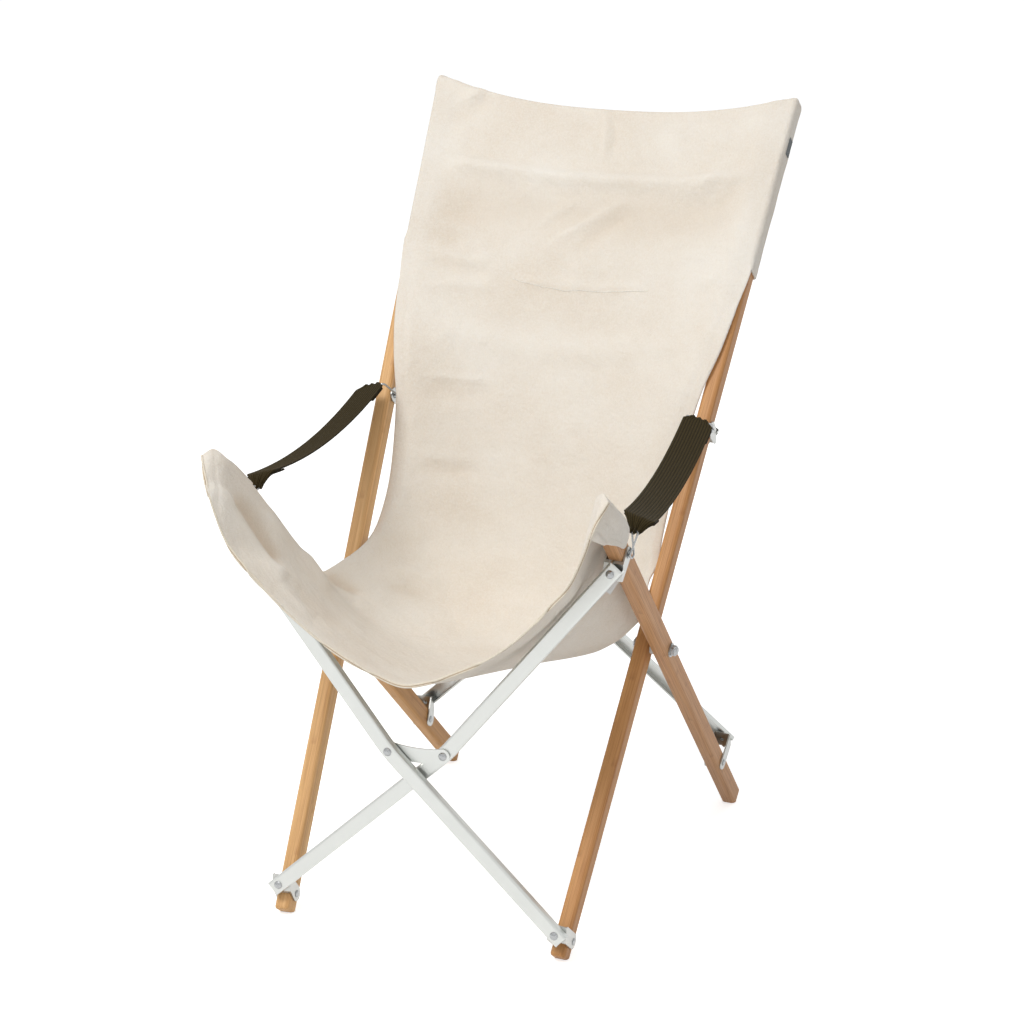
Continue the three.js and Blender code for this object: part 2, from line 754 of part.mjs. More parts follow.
// Across the sling the cloth hangs in a bow, deeper than a parabola over the seat.
const bowPower = 2.5;
const flatWidth = postThickness + 2 * (sleeveClearance + sleeveWall) + 2 * canvasGap;
const flatUntil = 6 / stationCount;
function canvasPoint(u, t) {
  const edge = canvasEdge.getPoint(t);
  const middle = canvasMiddle.getPoint(t);
  const across = 2 * u - 1;
  const flat = (1 - THREE.MathUtils.smoothstep(t, flatUntil, lowStation)) * flatWidth / edge.x;
  const bow = Math.min(1, Math.abs(across) / (1 - flat)) ** bowPower;
  const wave = foldDepth * Math.sin(Math.PI * across * 3) * Math.sin(Math.PI * t) * (1 - across ** 4);
  return new THREE.Vector3(
    edge.x * across,
    middle.y + (edge.y - middle.y) * bow,
    middle.z + (edge.z - middle.z) * bow + wave * (t > lowStation ? (t - lowStation) : 0),
  );
}

function canvasSheet(name, from, to, stepsAlong) {
  const pointAt = (u, t) => canvasPoint(u, from + (to - from) * t);
  const length = (to - from) * canvasEdge.getLength();
  const hemShare = hemWidth / (2 * pivotHalfWidth);
  const thicknessAt = (u, t) => {
    const side = Math.min(u, 1 - u) < hemShare;
    const end = (to === 1 && 1 - t < hemWidth / length) || (from === 0 && t < hemWidth / length);
    return side || end ? canvasHemThickness : canvasThickness;
  };
  return part(name, sheetGeometry(pointAt, 20, stepsAlong, thicknessAt), canvas());
}

const seam = canvasGap / canvasEdge.getLength();

function sideTag() {
  const geometry = new THREE.BoxGeometry(tagThickness, tagWidth, tagHeight);
  const outer = postThickness / 2 + sleeveClearance + sleeveWall + clearance + tagThickness / 2;
  geometry.translate(outer, 0, longAbove - 2.5 * tagHeight);
  geometry.rotateX(-longPostLean);
  geometry.translate(longPlane.x, 0, 0);
  return part('side_tag', geometry.applyMatrix4(frameMatrix), grey());
}

const recliner = new THREE.Group();
const leftHalf = new THREE.Group();
leftHalf.scale.x = -1;
leftHalf.add(sideFrame('left'));
recliner.add(
  sideFrame('right'),
  leftHalf,
  crossedBars('front', footPin, legTopPin, frontRivetOffset, frontBendShare, -1),
  crossedBars('rear', heelPin, backPin, rearRivetOffset, rearBendShare, 1),
  canvasSheet('canvas_back', 0, lowStation - seam, 22),
  canvasSheet('canvas_seat', lowStation, 1, 18),
  sideTag(),
);

const box = new THREE.Box3().setFromObject(recliner);
recliner.position.y = -(box.min.y + box.max.y) / 2;

export default recliner;
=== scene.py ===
# %% [markdown]
# # The looks of a bamboo folding recliner
#
# The real object is a high-backed sling chair. Two bamboo side frames cross like scissors, two pairs of crossed
# aluminium bars hold them apart, one long canvas sling hangs between them, and two straps of ribbed webbing
# carry the arms.
#
# The solids of the frame come in ready made and in their exact places, so this lesson doesn't model them again.
# It gives them good materials. It models what is soft, because cloth is where a plain solid looks wrong first:
# it has thickness, hems and folds, and it hangs. Every cloth here is a surface of two parameters, worked out
# with numpy as whole arrays, and then given its thickness.

# %% Load the frame
import math
import bpy
import numpy as np
from mathutils import Matrix, Vector


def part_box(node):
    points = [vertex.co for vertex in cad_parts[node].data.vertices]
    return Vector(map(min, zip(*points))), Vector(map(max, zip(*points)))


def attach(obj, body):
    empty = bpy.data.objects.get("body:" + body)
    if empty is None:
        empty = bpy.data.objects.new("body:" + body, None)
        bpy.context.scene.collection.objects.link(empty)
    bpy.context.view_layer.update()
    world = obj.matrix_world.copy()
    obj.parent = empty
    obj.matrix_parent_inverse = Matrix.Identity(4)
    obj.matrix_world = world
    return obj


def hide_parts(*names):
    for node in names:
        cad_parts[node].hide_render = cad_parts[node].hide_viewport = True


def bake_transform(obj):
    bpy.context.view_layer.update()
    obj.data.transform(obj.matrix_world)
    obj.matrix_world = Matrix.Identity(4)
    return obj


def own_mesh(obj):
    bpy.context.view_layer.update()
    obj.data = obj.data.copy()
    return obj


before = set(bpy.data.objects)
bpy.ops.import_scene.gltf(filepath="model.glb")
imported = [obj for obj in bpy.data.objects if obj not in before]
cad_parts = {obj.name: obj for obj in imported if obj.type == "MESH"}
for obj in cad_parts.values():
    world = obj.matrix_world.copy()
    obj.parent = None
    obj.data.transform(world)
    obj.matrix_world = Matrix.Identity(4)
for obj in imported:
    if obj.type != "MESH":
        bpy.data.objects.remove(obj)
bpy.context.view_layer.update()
MM = 0.001

# %% [markdown]
# ## Where the two side frames stand
#
# Each side frame lies in a plane that splays outward a little toward the top. In it are a long post, which leans
# back, and a short leg, which leans forward, and a bolt joins them. Whatever is sewn or hooked to a frame has to
# follow it exactly, so the places of cloth and wire are given along the post or along the leg, and three short
# functions turn them into places in the room. The left side is the mirror image of the right.

# %% Measures of a side frame
# The post lies this far inward of the pivot's middle, and the leg as far outward, so that they pass each other.
plane_offset = 0.0115
splay = math.radians(3.6)
post_lean = math.radians(34.3)
leg_lean = math.radians(49.0)
bolt_low, bolt_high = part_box("right_pivot_bolt")
pivot = np.array([0.202, (bolt_low.y + bolt_high.y) / 2, 0.312])
post_thick, post_deep = 0.018, 0.025
post_above, leg_above = 0.70118, 0.34937
leg_reach = leg_above * math.sin(leg_lean)
both_sides = ((1, "right"), (-1, "left"))
print("pivot at", pivot.round(4), "m, the leg reaches", round(leg_reach, 3), "m forward of it")


# %% From a frame to the room
def in_row(points, side=1):
    """Points given as outward, back and up of the pivot: turned by the splay, then moved to the pivot."""
    p = np.asarray(points, float)
    c, s = math.cos(splay), math.sin(splay)
    x = side * (p[..., 0] * c + p[..., 2] * s + pivot[0])
    return np.stack([x, p[..., 1] + pivot[1], p[..., 2] * c - p[..., 0] * s + pivot[2]], -1)


def on_post(along, out, front, side=1):
    """Points on the long post: along it above the bolt, outward of its axis, and in front of it."""
    along, out, front = np.broadcast_arrays(along, out, front)
    c, s = math.cos(post_lean), math.sin(post_lean)
    return in_row(np.stack([out - plane_offset, along * s - front * c, along * c + front * s], -1), side)


def on_leg(from_tip, out, up, side=1):
    """Points on the short leg: from its tip down along it, outward of its axis, and above it."""
    from_tip, out, up = np.broadcast_arrays(from_tip, out, up)
    c, s = math.cos(leg_lean), math.sin(leg_lean)
    a = leg_above - from_tip
    return in_row(np.stack([out + plane_offset, up * c - a * s, a * c + up * s], -1), side)


def to_leg(points, side):
    """The way back from on_leg: room points as outward of the leg's axis, up from it, and from its tip."""
    c, s = math.cos(splay), math.sin(splay)
    dx, dz = points[..., 0] * side - pivot[0], points[..., 2] - pivot[2]
    x, y, z = dx * c - dz * s, points[..., 1] - pivot[1], dx * s + dz * c
    c, s = math.cos(leg_lean), math.sin(leg_lean)
    return np.stack([x - plane_offset, y * c + z * s, leg_above - (z * c - y * s)], -1)


print("top of the right post at", on_post(post_above, 0, 0).round(3), "m")
print("tip of the right leg at", on_leg(0, 0, 0).round(3), "m")

# %% [markdown]
# ## Camera
#
# The camera stands where the photograph was taken from. Its angles, its distance and its focal length were
# fitted to edges that are easy to measure, such as the posts, the feet and the pivots. The same numbers give a
# function from a point in the room to its pixel. That is handy later: a fold can be drawn along the line where
# the photograph shows it, and the function says which part of the cloth lies under that line.

# %% The view
image_size = 1024
view_turn, view_tilt, view_roll = (math.radians(a) for a in (21.347, 15.398, 0.798))
view_target = np.array([0.02111, 0.00274 + pivot[1], 0.45261])
view_distance = 3.58003
focal_pixels = 3066.84
centre_pixels = (510.95, 511.80)
view_back = np.array([math.sin(view_turn) * math.cos(view_tilt),
                      -math.cos(view_turn) * math.cos(view_tilt), math.sin(view_tilt)])
level = np.array([math.cos(view_turn), math.sin(view_turn), 0])
upright = np.cross(view_back, level)
view_right = math.cos(view_roll) * level + math.sin(view_roll) * upright
view_up = math.cos(view_roll) * upright - math.sin(view_roll) * level
view_place = view_target + view_distance * view_back


def pixels(points):
    """Pixels of room points: sideways and up from the view's axis, divided by the depth, times the focal length."""
    d = np.asarray(points) - view_place
    depth = -(d @ view_back)
    x = centre_pixels[0] + focal_pixels * (d @ view_right) / depth
    return np.stack([x, centre_pixels[1] - focal_pixels * (d @ view_up) / depth], -1)


print("the pivot shows at pixel", pixels(pivot).round(1))

# %% The camera itself
lens = bpy.data.cameras.new("camera")
lens.sensor_width = 36
lens.lens = focal_pixels / image_size * lens.sensor_width
lens.shift_x = (image_size / 2 - centre_pixels[0]) / image_size
lens.shift_y = (centre_pixels[1] - image_size / 2) / image_size
lens.clip_start, lens.clip_end = 0.1, 200
camera = bpy.data.objects.new("camera", lens)
camera.matrix_world = Matrix([[*map(float, (view_right[i], view_up[i], view_back[i], view_place[i]))]
                              for i in range(3)] + [[0, 0, 0, 1]])
bpy.context.scene.collection.objects.link(camera)
bpy.context.scene.camera = camera
print("lens", round(lens.lens, 1), "mm on a sensor of", lens.sensor_width, "mm")

# %% [markdown]
# ## Light, floor and background
#
# The photograph was lit softly from the front and above, a little from the left: the sling is evenly bright and
# its folds show as faint shades. Three large round lamps do that, the key high in front, a weak fill at the right
# and a rim behind. More power would only bleach the canvas.
#
# The background is white, but it must not light the object as a white room would. Light Path tells the rays
# apart: a ray from the camera, or one that a gloss or a glass sends on, sees white, and all the other rays see
# the plain level that lights the object. The floor does the same and keeps the shadow.


# %% Lamps
def lamp(name, place, aim, size, power, colour=(1, 1, 1)):
    """A round area lamp at a place, turned so that it looks at its aim."""
    data = bpy.data.lights.new(name, "AREA")
    data.shape, data.size, data.energy, data.color = "DISK", size, power, colour
    thing = bpy.data.objects.new(name, data)
    thing.location = place
    thing.rotation_euler = (Vector(aim) - Vector(place)).to_track_quat("-Z", "Y").to_euler()
    bpy.context.scene.collection.objects.link(thing)
    print("lamp", name, power, "W at", place)


warm = (1.0, 0.985, 0.965)
lamp("key", (-1.4, -2.8, 4.4), (0, 0, 0.45), 2.2, 137, warm)
lamp("fill", (1.8, -3.2, 3.0), (0, 0, 0.4), 2.4, 18, warm)
lamp("rim", (0.8, 3.4, 2.8), (0, 0, 0.5), 2.0, 16)


# %% One shader that is seen, another that lights
def seen_rays(tree, shown, lit):
    """Mixes two shaders: one for camera, glossy and transmission rays, and one for the light that falls."""
    rays = tree.nodes.new("ShaderNodeLightPath")
    total = rays.outputs["Is Camera Ray"]
    for name in ("Is Glossy Ray", "Is Transmission Ray"):
        step = tree.nodes.new("ShaderNodeMath")
        step.operation, step.use_clamp = "ADD", True
        tree.links.new(total, step.inputs[0])
        tree.links.new(rays.outputs[name], step.inputs[1])
        total = step.outputs[0]
    mix = tree.nodes.new("ShaderNodeMixShader")
    tree.links.new(total, mix.inputs[0])
    tree.links.new(lit, mix.inputs[1])
    tree.links.new(shown, mix.inputs[2])
    return mix.outputs[0]


# %% The white room
room_light = 0.45
world = bpy.data.worlds.new("studio")
bpy.context.scene.world = world
world.use_nodes = True
tree = world.node_tree
tree.nodes.clear()
seen, falls = tree.nodes.new("ShaderNodeBackground"), tree.nodes.new("ShaderNodeBackground")
seen.inputs["Color"].default_value = (1, 1, 1, 1)
falls.inputs["Color"].default_value = (1, 1, 1, 1)
falls.inputs["Strength"].default_value = room_light
out = tree.nodes.new("ShaderNodeOutputWorld")
tree.links.new(seen_rays(tree, seen.outputs[0], falls.outputs[0]), out.inputs["Surface"])
print("room: seen as white, lights at", room_light)

# %% The pale floor, which keeps the shadow
floor_reach, floor_glow = 40.0, 0.67
floor_mesh = bpy.data.meshes.new("floor")
floor_mesh.from_pydata([(-floor_reach, -floor_reach, 0), (floor_reach, -floor_reach, 0),
                        (floor_reach, floor_reach, 0), (-floor_reach, floor_reach, 0)], [], [(0, 1, 2, 3)])
floor = bpy.data.objects.new("floor", floor_mesh)
floor.location.z = -0.0006
bpy.context.scene.collection.objects.link(floor)
paint = bpy.data.materials.new("floor_white")
paint.use_nodes = True
tree = paint.node_tree
tree.nodes.clear()
matt, glow = tree.nodes.new("ShaderNodeBsdfDiffuse"), tree.nodes.new("ShaderNodeEmission")
matt.inputs["Color"].default_value = (0.8, 0.8, 0.8, 1)
glow.inputs["Strength"].default_value = floor_glow
both = tree.nodes.new("ShaderNodeAddShader")
tree.links.new(matt.outputs[0], both.inputs[0])
tree.links.new(glow.outputs[0], both.inputs[1])
out = tree.nodes.new("ShaderNodeOutputMaterial")
tree.links.new(seen_rays(tree, both.outputs[0], matt.outputs[0]), out.inputs["Surface"])
floor_mesh.materials.append(paint)
bpy.context.scene.view_settings.view_transform = "Standard"
print("floor glows by", floor_glow, "for the camera alone")

# %% [markdown]
# ## Materials
#
# Every finish here is worked out from the place on the surface, by a tree of nodes. Nothing has to be painted or
# loaded, and nothing repeats. Cloth and webbing read their own UVs, which are in metres along the weave, so that
# the threads turn with the cloth. Wood and metal read Object coordinates. A colour is written as it reads on the
# screen and is turned into a light value once. The classes only shorten the calls that add and join nodes.


# %% A material and its nodes
def calls(kind):
    """The names of the calls that a class adds."""
    return [name for name in vars(kind) if not name.startswith("_")]


class Nodes:
    """A material's node tree, with short calls that add nodes and join them."""

    def __init__(self, name, **sockets):
        """A new material. Each named socket of its shader gets a plain value."""
        self.material = bpy.data.materials.new(name)
        self.material.use_nodes = True
        self.tree = self.material.node_tree
        self.shader = self.tree.nodes["Principled BSDF"]
        for key, value in sockets.items():
            self.shader.inputs[key.replace("_", " ")].default_value = value

    def node(self, kind, **settings):
        """A node of that kind, with those settings."""
        made = self.tree.nodes.new("ShaderNode" + kind)
        for key, value in settings.items():
            setattr(made, key, value)
        return made

    def join(self, source, target):
        """Writes a plain number or colour into a socket, and links anything else to it."""
        if isinstance(source, (int, float, tuple, list)):
            target.default_value = source
        else:
            self.tree.links.new(source, target)

    def place(self, name="Object"):
        """Where on the piece a point lies, in metres."""
        return self.node("TexCoord").outputs[name]

    def use(self, **sockets):
        """Joins sources to sockets of the shader and gives the material."""
        for key, source in sockets.items():
            self.join(source, self.shader.inputs[key.replace("_", " ")])
        print("material", self.material.name, "has", len(self.tree.nodes), "nodes")
        return self.material


print("calls for nodes:", *calls(Nodes))


# %% Sums of values and places
class Sums(Nodes):
    """Arithmetic with values and with places, one node for each step."""

    def sums(self, operation, a, b=0.0, clamp=False):
        """One step of arithmetic with one or two values."""
        made = self.node("Math", operation=operation, use_clamp=clamp)
        self.join(a, made.inputs[0])
        self.join(b, made.inputs[1])
        return made.outputs[0]

    def plus(self, a, b):
        """The sum of two values."""
        return self.sums("ADD", a, b)

    def times(self, a, b, clamp=False):
        """The product of two values, kept between 0 and 1 where that is asked."""
        return self.sums("MULTIPLY", a, b, clamp)

    def dot(self, a, b):
        """How far a place lies along a direction: the sum of the products of their parts."""
        made = self.node("VectorMath", operation="DOT_PRODUCT")
        self.join(a, made.inputs[0])
        self.join(tuple(b), made.inputs[1])
        return made.outputs["Value"]

    def triple(self, x, y, z):
        """Three values as one place."""
        made = self.node("CombineXYZ")
        for value, target in zip((x, y, z), made.inputs):
            self.join(value, target)
        return made.outputs[0]

    def scaled(self, vector, factors):
        """A place with each part times its own factor, which squeezes a pattern along that part."""
        made = self.node("VectorMath", operation="MULTIPLY")
        self.join(vector, made.inputs[0])
        self.join(factors, made.inputs[1])
        return made.outputs[0]


print("calls for sums:", *calls(Sums))


# %% Patterns, colours and bumps
class Paint(Sums):
    """Patterns over a place, colours that are looked up or mixed, and bumps."""

    def noise(self, vector, scale, detail=3.0, rough=0.5):
        """Soft random spots, from 0 to 1, about one over the scale in size."""
        made = self.node("TexNoise")
        self.join(vector, made.inputs["Vector"])
        for key, value in (("Scale", scale), ("Detail", detail), ("Roughness", rough)):
            made.inputs[key].default_value = value
        return made.outputs["Fac"]

    def bands(self, vector, scale, distortion=0.0):
        """Slanted bands, as of a twist or a twill."""
        made = self.node("TexWave", wave_type="BANDS", bands_direction="DIAGONAL")
        self.join(vector, made.inputs["Vector"])
        made.inputs["Scale"].default_value = scale
        made.inputs["Distortion"].default_value = distortion
        return made.outputs["Fac"]

    def ramp(self, value, *stops):
        """A value looked up between stops, each a position with a number or a colour."""
        made = self.node("ValToRGB")
        band = made.color_ramp
        while len(band.elements) < len(stops):
            band.elements.new(0.5)
        for element, (at, colour) in zip(band.elements, stops):
            element.position = at
            element.color = (*colour, 1) if isinstance(colour, tuple) else (colour, colour, colour, 1)
        self.join(value, made.inputs[0])
        return made.outputs[0]

    def mix(self, share, a, b):
        """Colour a with a share of colour b laid over it."""
        made = self.node("Mix", data_type="RGBA", blend_type="MIX")
        self.join(share, made.inputs[0])
        self.join((*a, 1) if isinstance(a, tuple) else a, made.inputs[6])
        self.join((*b, 1) if isinstance(b, tuple) else b, made.inputs[7])
        return made.outputs[2]

    def bump(self, height, strength, distance, under=None):
        """The surface's direction tilted by a height, on top of another bump where one is given."""
        made = self.node("Bump")
        made.inputs["Strength"].default_value = strength
        made.inputs["Distance"].default_value = distance
        self.join(height, made.inputs["Height"])
        if under is not None:
            self.join(under, made.inputs["Normal"])
        return made.outputs[0]


print("calls for patterns and colours:", *calls(Paint))


# %% Colours
def linear(red, green, blue):
    """A screen colour from 0 to 255 as a light value: (v + 0.055) / 1.055 to the power 2.4, straight near black."""
    return tuple(((v / 255 + 0.055) / 1.055) ** 2.4 if v > 10 else v / 255 / 12.92 for v in (red, green, blue))


def deeper(colour, *factors):
    """A screen colour with each channel times its own factor, as a light value."""
    return linear(*(channel * factor for channel, factor in zip(colour, factors)))


print("a mid screen grey lights as", round(linear(128, 128, 128)[0], 3))

# %% [markdown]
# ### Canvas
#
# The sling is undyed cotton duck, a heavy plain weave. It is matt, a little translucent, and never one colour:
# some threads are thicker, and bits of seed husk show as specks. On top of that, shade is painted into its folds
# and light onto their crests. A picture of cloth would repeat, and it would blur close up. Two sine waves across
# each other give the weave, noise stretched along the threads gives the thick ones, and small cells that are let
# through here and there give the specks. For the painted shade and light the mesh brings an attribute, valley,
# which runs from 1 in a fold to -1 on a crest.


# %% The canvas
def canvas_material(thread=0.0011):
    """Height: sine along the width times sine along the length, both wavering, plus stretched noise and grain.

    Tone: a cloudy base, then grain, thick threads, specks, painted shade in valleys and painted light on crests, one
    by one.
    """
    p = Paint("canvas", Roughness=0.92, Sheen_Weight=0.1, Sheen_Roughness=0.6, Subsurface_Weight=0.15,
              Subsurface_Radius=(1.0, 0.85, 0.7), Subsurface_Scale=0.004, Specular_IOR_Level=0.2)
    uv, place = p.place("UV"), p.place("Object")
    turns = 2 * math.pi / thread
    wobble = p.times(p.noise(uv, 260, 2), 1.6)
    warp = p.sums("SINE", p.plus(p.dot(uv, (turns, 0, 0)), wobble))
    weft = p.sums("SINE", p.plus(p.dot(uv, (0, turns, 0)), wobble))
    thick_up, thick_across = (p.noise(p.scaled(uv, by), 1.0, 2) for by in ((1400, 120, 1), (120, 1400, 1)))
    grain = p.noise(place, 420, 4, 0.65)
    height = p.plus(p.times(p.times(warp, weft), 0.35), p.plus(thick_up, p.plus(thick_across, grain)))

    cloud = p.noise(place, 9, 3, 0.55)
    tone = p.ramp(cloud, (0.3, linear(229, 218, 203)), (0.7, linear(239, 232, 221)))
    tone = p.mix(p.ramp(grain, (0.35, 0.0), (0.75, 1.0)), tone, p.mix(0.5, tone, linear(246, 241, 234)))
    tone = p.mix(p.ramp(thick_up, (0.55, 0.0), (0.8, 0.35)), tone, linear(221, 206, 187))

    seeds = p.node("TexVoronoi", feature="F1", distance="EUCLIDEAN")
    p.join(p.scaled(place, (260, 260, 260)), seeds.inputs["Vector"])
    seeds.inputs["Randomness"].default_value = 1.0
    speck = p.ramp(seeds.outputs["Distance"], (0.09, 1.0), (0.13, 0.0))
    rare = p.ramp(p.noise(place, 70, 1), (0.56, 0.0), (0.6, 1.0))
    tone = p.mix(p.times(p.times(speck, rare), 0.75), tone, linear(150, 118, 80))

    # Painted shade and light: the tone darkens to brown in the folds' valleys and pales on their crests.
    valley = p.node("Attribute", attribute_name="valley").outputs["Fac"]
    tone = p.mix(p.times(valley, 0.55, True), tone, linear(196, 172, 142))
    tone = p.mix(p.times(valley, -0.6, True), tone, linear(252, 247, 238))
    soft = p.bump(p.noise(place, 26, 4, 0.6), 0.7, 0.006)
    return p.use(Base_Color=tone, Normal=p.bump(height, 0.6, 0.0004, soft))


canvas = canvas_material()

# %% [markdown]
# ### Hem, thread and tape
#
# A rolled hem is the same canvas on the bias, so it shows grain but no squares of weave. Sewing thread is twisted,
# and slanted bands of painted shade and light stand for the twist. Tape is a fine twill, slanted too, but in the
# flat. These are small, and a plain recipe for each is enough.


# %% Hem, thread and tape
def canvas_hem_material():
    """Noise as fine as the yarn picks a tone between two and lifts the surface."""
    p = Paint("canvas_hem", Roughness=0.9, Sheen_Weight=0.1, Specular_IOR_Level=0.2)
    grain = p.noise(p.place(), 500, 4, 0.65)
    tone = p.ramp(grain, (0.3, linear(220, 209, 190)), (0.7, linear(238, 230, 215)))
    return p.use(Base_Color=tone, Normal=p.bump(grain, 0.5, 0.0004))


def thread_material(name, dark, light):
    """Slanted bands through space: painted shade in the grooves of the twist and painted light on its strands."""
    p = Paint(name, Roughness=0.75)
    twist = p.bands(p.place(), 700)
    # Painted shade and light: the tone is darker where the twist's bump is low and paler where it is high.
    tone = p.ramp(twist, (0.2, linear(*dark)), (0.8, linear(*light)))
    return p.use(Base_Color=tone, Normal=p.bump(twist, 0.5, 0.0002))


def tape_material(name, colour):
    """Slanted bands along the tape, each a little darker than the next."""
    p = Paint(name, Roughness=0.8)
    twill = p.bands(p.place("UV"), 500)
    tone = p.mix(twill, linear(*(c - 14 for c in colour)), linear(*colour))
    return p.use(Base_Color=tone, Normal=p.bump(twill, 0.3, 0.0002))


canvas_hem = canvas_hem_material()
white_thread = thread_material("white_thread", (244, 240, 230), (254, 252, 248))
brown_thread = thread_material("brown_thread", (150, 118, 84), (196, 164, 124))
grey_tape = tape_material("grey_tape", (118, 122, 124))
white_tape = tape_material("care_tape", (240, 240, 238))

# %% [markdown]
# ### Laminated bamboo
#
# The posts and legs are sawn from boards of glued bamboo strips. Close up each strip has its own tone, thin glue
# lines run between the strips, fibres run along them, and every hand's width or so a strip shows the dark band of
# a node. Ordinary wood rings would look wrong. The recipe measures a point along the piece, across its depth and
# across its thickness, and rounds the last two down to whole strips, which gives each strip its own random shade.

# %% Bamboo
strip_wide, strip_high, node_every = 0.0055, 0.0062, 0.31


def bamboo_material(name, axis, deep, thin, dark, light):
    """Strip: depth over strip width and thickness over strip height, rounded down, pick a random shade.

    Fibres and grain: noise squeezed sideways a hundredfold. Seam: close to a whole number of strip widths. Node
    band: close to a whole number of node lengths, moved by the strip's own shade so that the bands don't line up.
    """
    p = Paint(name, Roughness=0.55, Coat_Weight=0.1, Coat_Roughness=0.35, Specular_IOR_Level=0.3)
    place = p.place()
    a, w, t = p.dot(place, axis), p.dot(place, deep), p.dot(place, thin)
    strips_in = p.sums("DIVIDE", w, strip_wide)
    strip = p.triple(p.sums("FLOOR", strips_in), p.sums("FLOOR", p.sums("DIVIDE", t, strip_high)), 0.0)
    tint = p.node("TexWhiteNoise", noise_dimensions="3D")
    p.join(strip, tint.inputs["Vector"])
    shade = tint.outputs["Value"]
    fibre = p.noise(p.triple(p.times(w, 1500), p.times(t, 1500), p.times(a, 14)), 1.0, 3, 0.6)
    grain = p.noise(p.triple(p.times(w, 330), p.times(t, 330), p.times(a, 5)), 1.0, 2, 0.5)
    along = p.sums("FRACT", p.plus(p.sums("DIVIDE", a, node_every), p.times(shade, 7.3)))
    band = p.ramp(along, (0.0, 0.0), (0.01, 1.0), (0.045, 0.0))
    seam = p.ramp(p.sums("FRACT", strips_in), (0.0, 1.0), (0.07, 0.0), (0.94, 0.0), (1.0, 1.0))
    tone = p.mix(shade, linear(*dark), linear(*light))
    tone = p.mix(p.ramp(fibre, (0.42, 0.0), (0.66, 0.75)), tone, deeper(dark, 0.84, 0.775, 0.7))
    tone = p.mix(p.ramp(grain, (0.35, 0.0), (0.75, 0.5)), tone, linear(*(v + 5 for v in light)))
    tone = p.mix(p.times(seam, 0.5), tone, deeper(dark, 0.8, 0.73, 0.7))
    tone = p.mix(p.times(band, 0.3), tone, deeper(dark, 0.8, 0.71, 0.67))
    return p.use(Base_Color=tone, Normal=p.bump(fibre, 0.12, 0.0003))


print("strips", strip_wide / MM, "by", round(strip_high / MM, 1), "mm, a node every", node_every, "m")

# %% [markdown]
# ### Metal and plastic
#
# The crossed bars are satin anodised aluminium, drawn through a die, so the finest marks run lengthwise. The
# brackets are pressed sheet, the rivets, bolts and wires bright steel, and the spacers a hard white plastic. Only
# gloss tells them apart at this size, so each gets a smudge that varies its polish and a fine bump.


# %% Metal and plastic
def metal_material(name, colour, rough, brushed=False):
    """Smudge noise moves the tone by 12 levels and the roughness by 0.12. Fine noise, or streaks, tilt the surface."""
    p = Paint(name, Metallic=1.0)
    place = p.place()
    fine = p.noise(p.scaled(place, (1200, 1200, 20)), 1.0, 2) if brushed else p.noise(place, 900, 2)
    smudge = p.noise(place, 28, 3)
    tone = p.mix(smudge, linear(*(c - 12 for c in colour)), linear(*colour))
    polish = p.plus(p.times(smudge, 0.12), rough - 0.06)
    return p.use(Base_Color=tone, Roughness=polish, Normal=p.bump(fine, 0.06, 0.0002))


def plastic_material(name, colour, rough):
    """Fine noise moves the tone by 8 levels and tilts the surface."""
    p = Paint(name, Roughness=rough)
    fine = p.noise(p.place(), 700, 2)
    tone = p.mix(fine, linear(*(c - 8 for c in colour)), linear(*colour))
    return p.use(Base_Color=tone, Normal=p.bump(fine, 0.1, 0.0002))


aluminium = metal_material("satin_aluminium", (205, 207, 204), 0.36, brushed=True)
steel = metal_material("steel", (170, 172, 173), 0.26)
pressed = metal_material("pressed_steel", (190, 191, 188), 0.34)
white_plastic = plastic_material("spacer_plastic", (232, 234, 232), 0.45)

# %% [markdown]
# ### Ribbed webbing
#
# The arm straps are a thick olive band with ribs along it. Ribs are a shape, which catches the light along their
# crests and must hold at the strap's bends, so they are modelled in the mesh further on. The material adds what
# is finer than that: slanted picks of yarn, painted shade in the grooves between the ribs, and a little fuzz.

# %% Webbing
strap_wide, strap_ribs = 0.0375, 11


def webbing_material():
    """Groove: the sine across the strap, one hump for each rib; it paints shade between the ribs. Picks: slanted
    bands. Fuzz: fine noise.
    """
    p = Paint("webbing", Roughness=0.9, Sheen_Weight=0.05, Specular_IOR_Level=0.12)
    uv = p.place("UV")
    groove = p.sums("ABSOLUTE", p.sums("SINE", p.dot(uv, (math.pi * strap_ribs / strap_wide, 0, 0))))
    picks = p.bands(uv, 420, 1.5)
    fuzz = p.noise(uv, 900, 3)
    tone = p.mix(picks, linear(46, 38, 18), linear(69, 58, 31))
    # Painted shade: the tone darkens in the grooves between the ribs of the mesh.
    tone = p.mix(p.ramp(groove, (0.75, 0.0), (0.97, 0.8)), tone, linear(30, 24, 11))
    tone = p.mix(p.ramp(fuzz, (0.5, 0.0), (0.8, 0.5)), tone, linear(70, 62, 42))
    return p.use(Base_Color=tone, Normal=p.bump(picks, 0.5, 0.0003))


webbing = webbing_material()

# %% [markdown]
# ## Tools for cloth and wire
#
# A cloth is a surface of two parameters, rows along it and columns across. A few measured rows are enough, if a
# smooth curve runs through them. The Catmull-Rom curve does that: it passes through every point it is given, which
# a Bezier or a B-spline net doesn't, and its centripetal form makes no loops where the points lie unevenly.


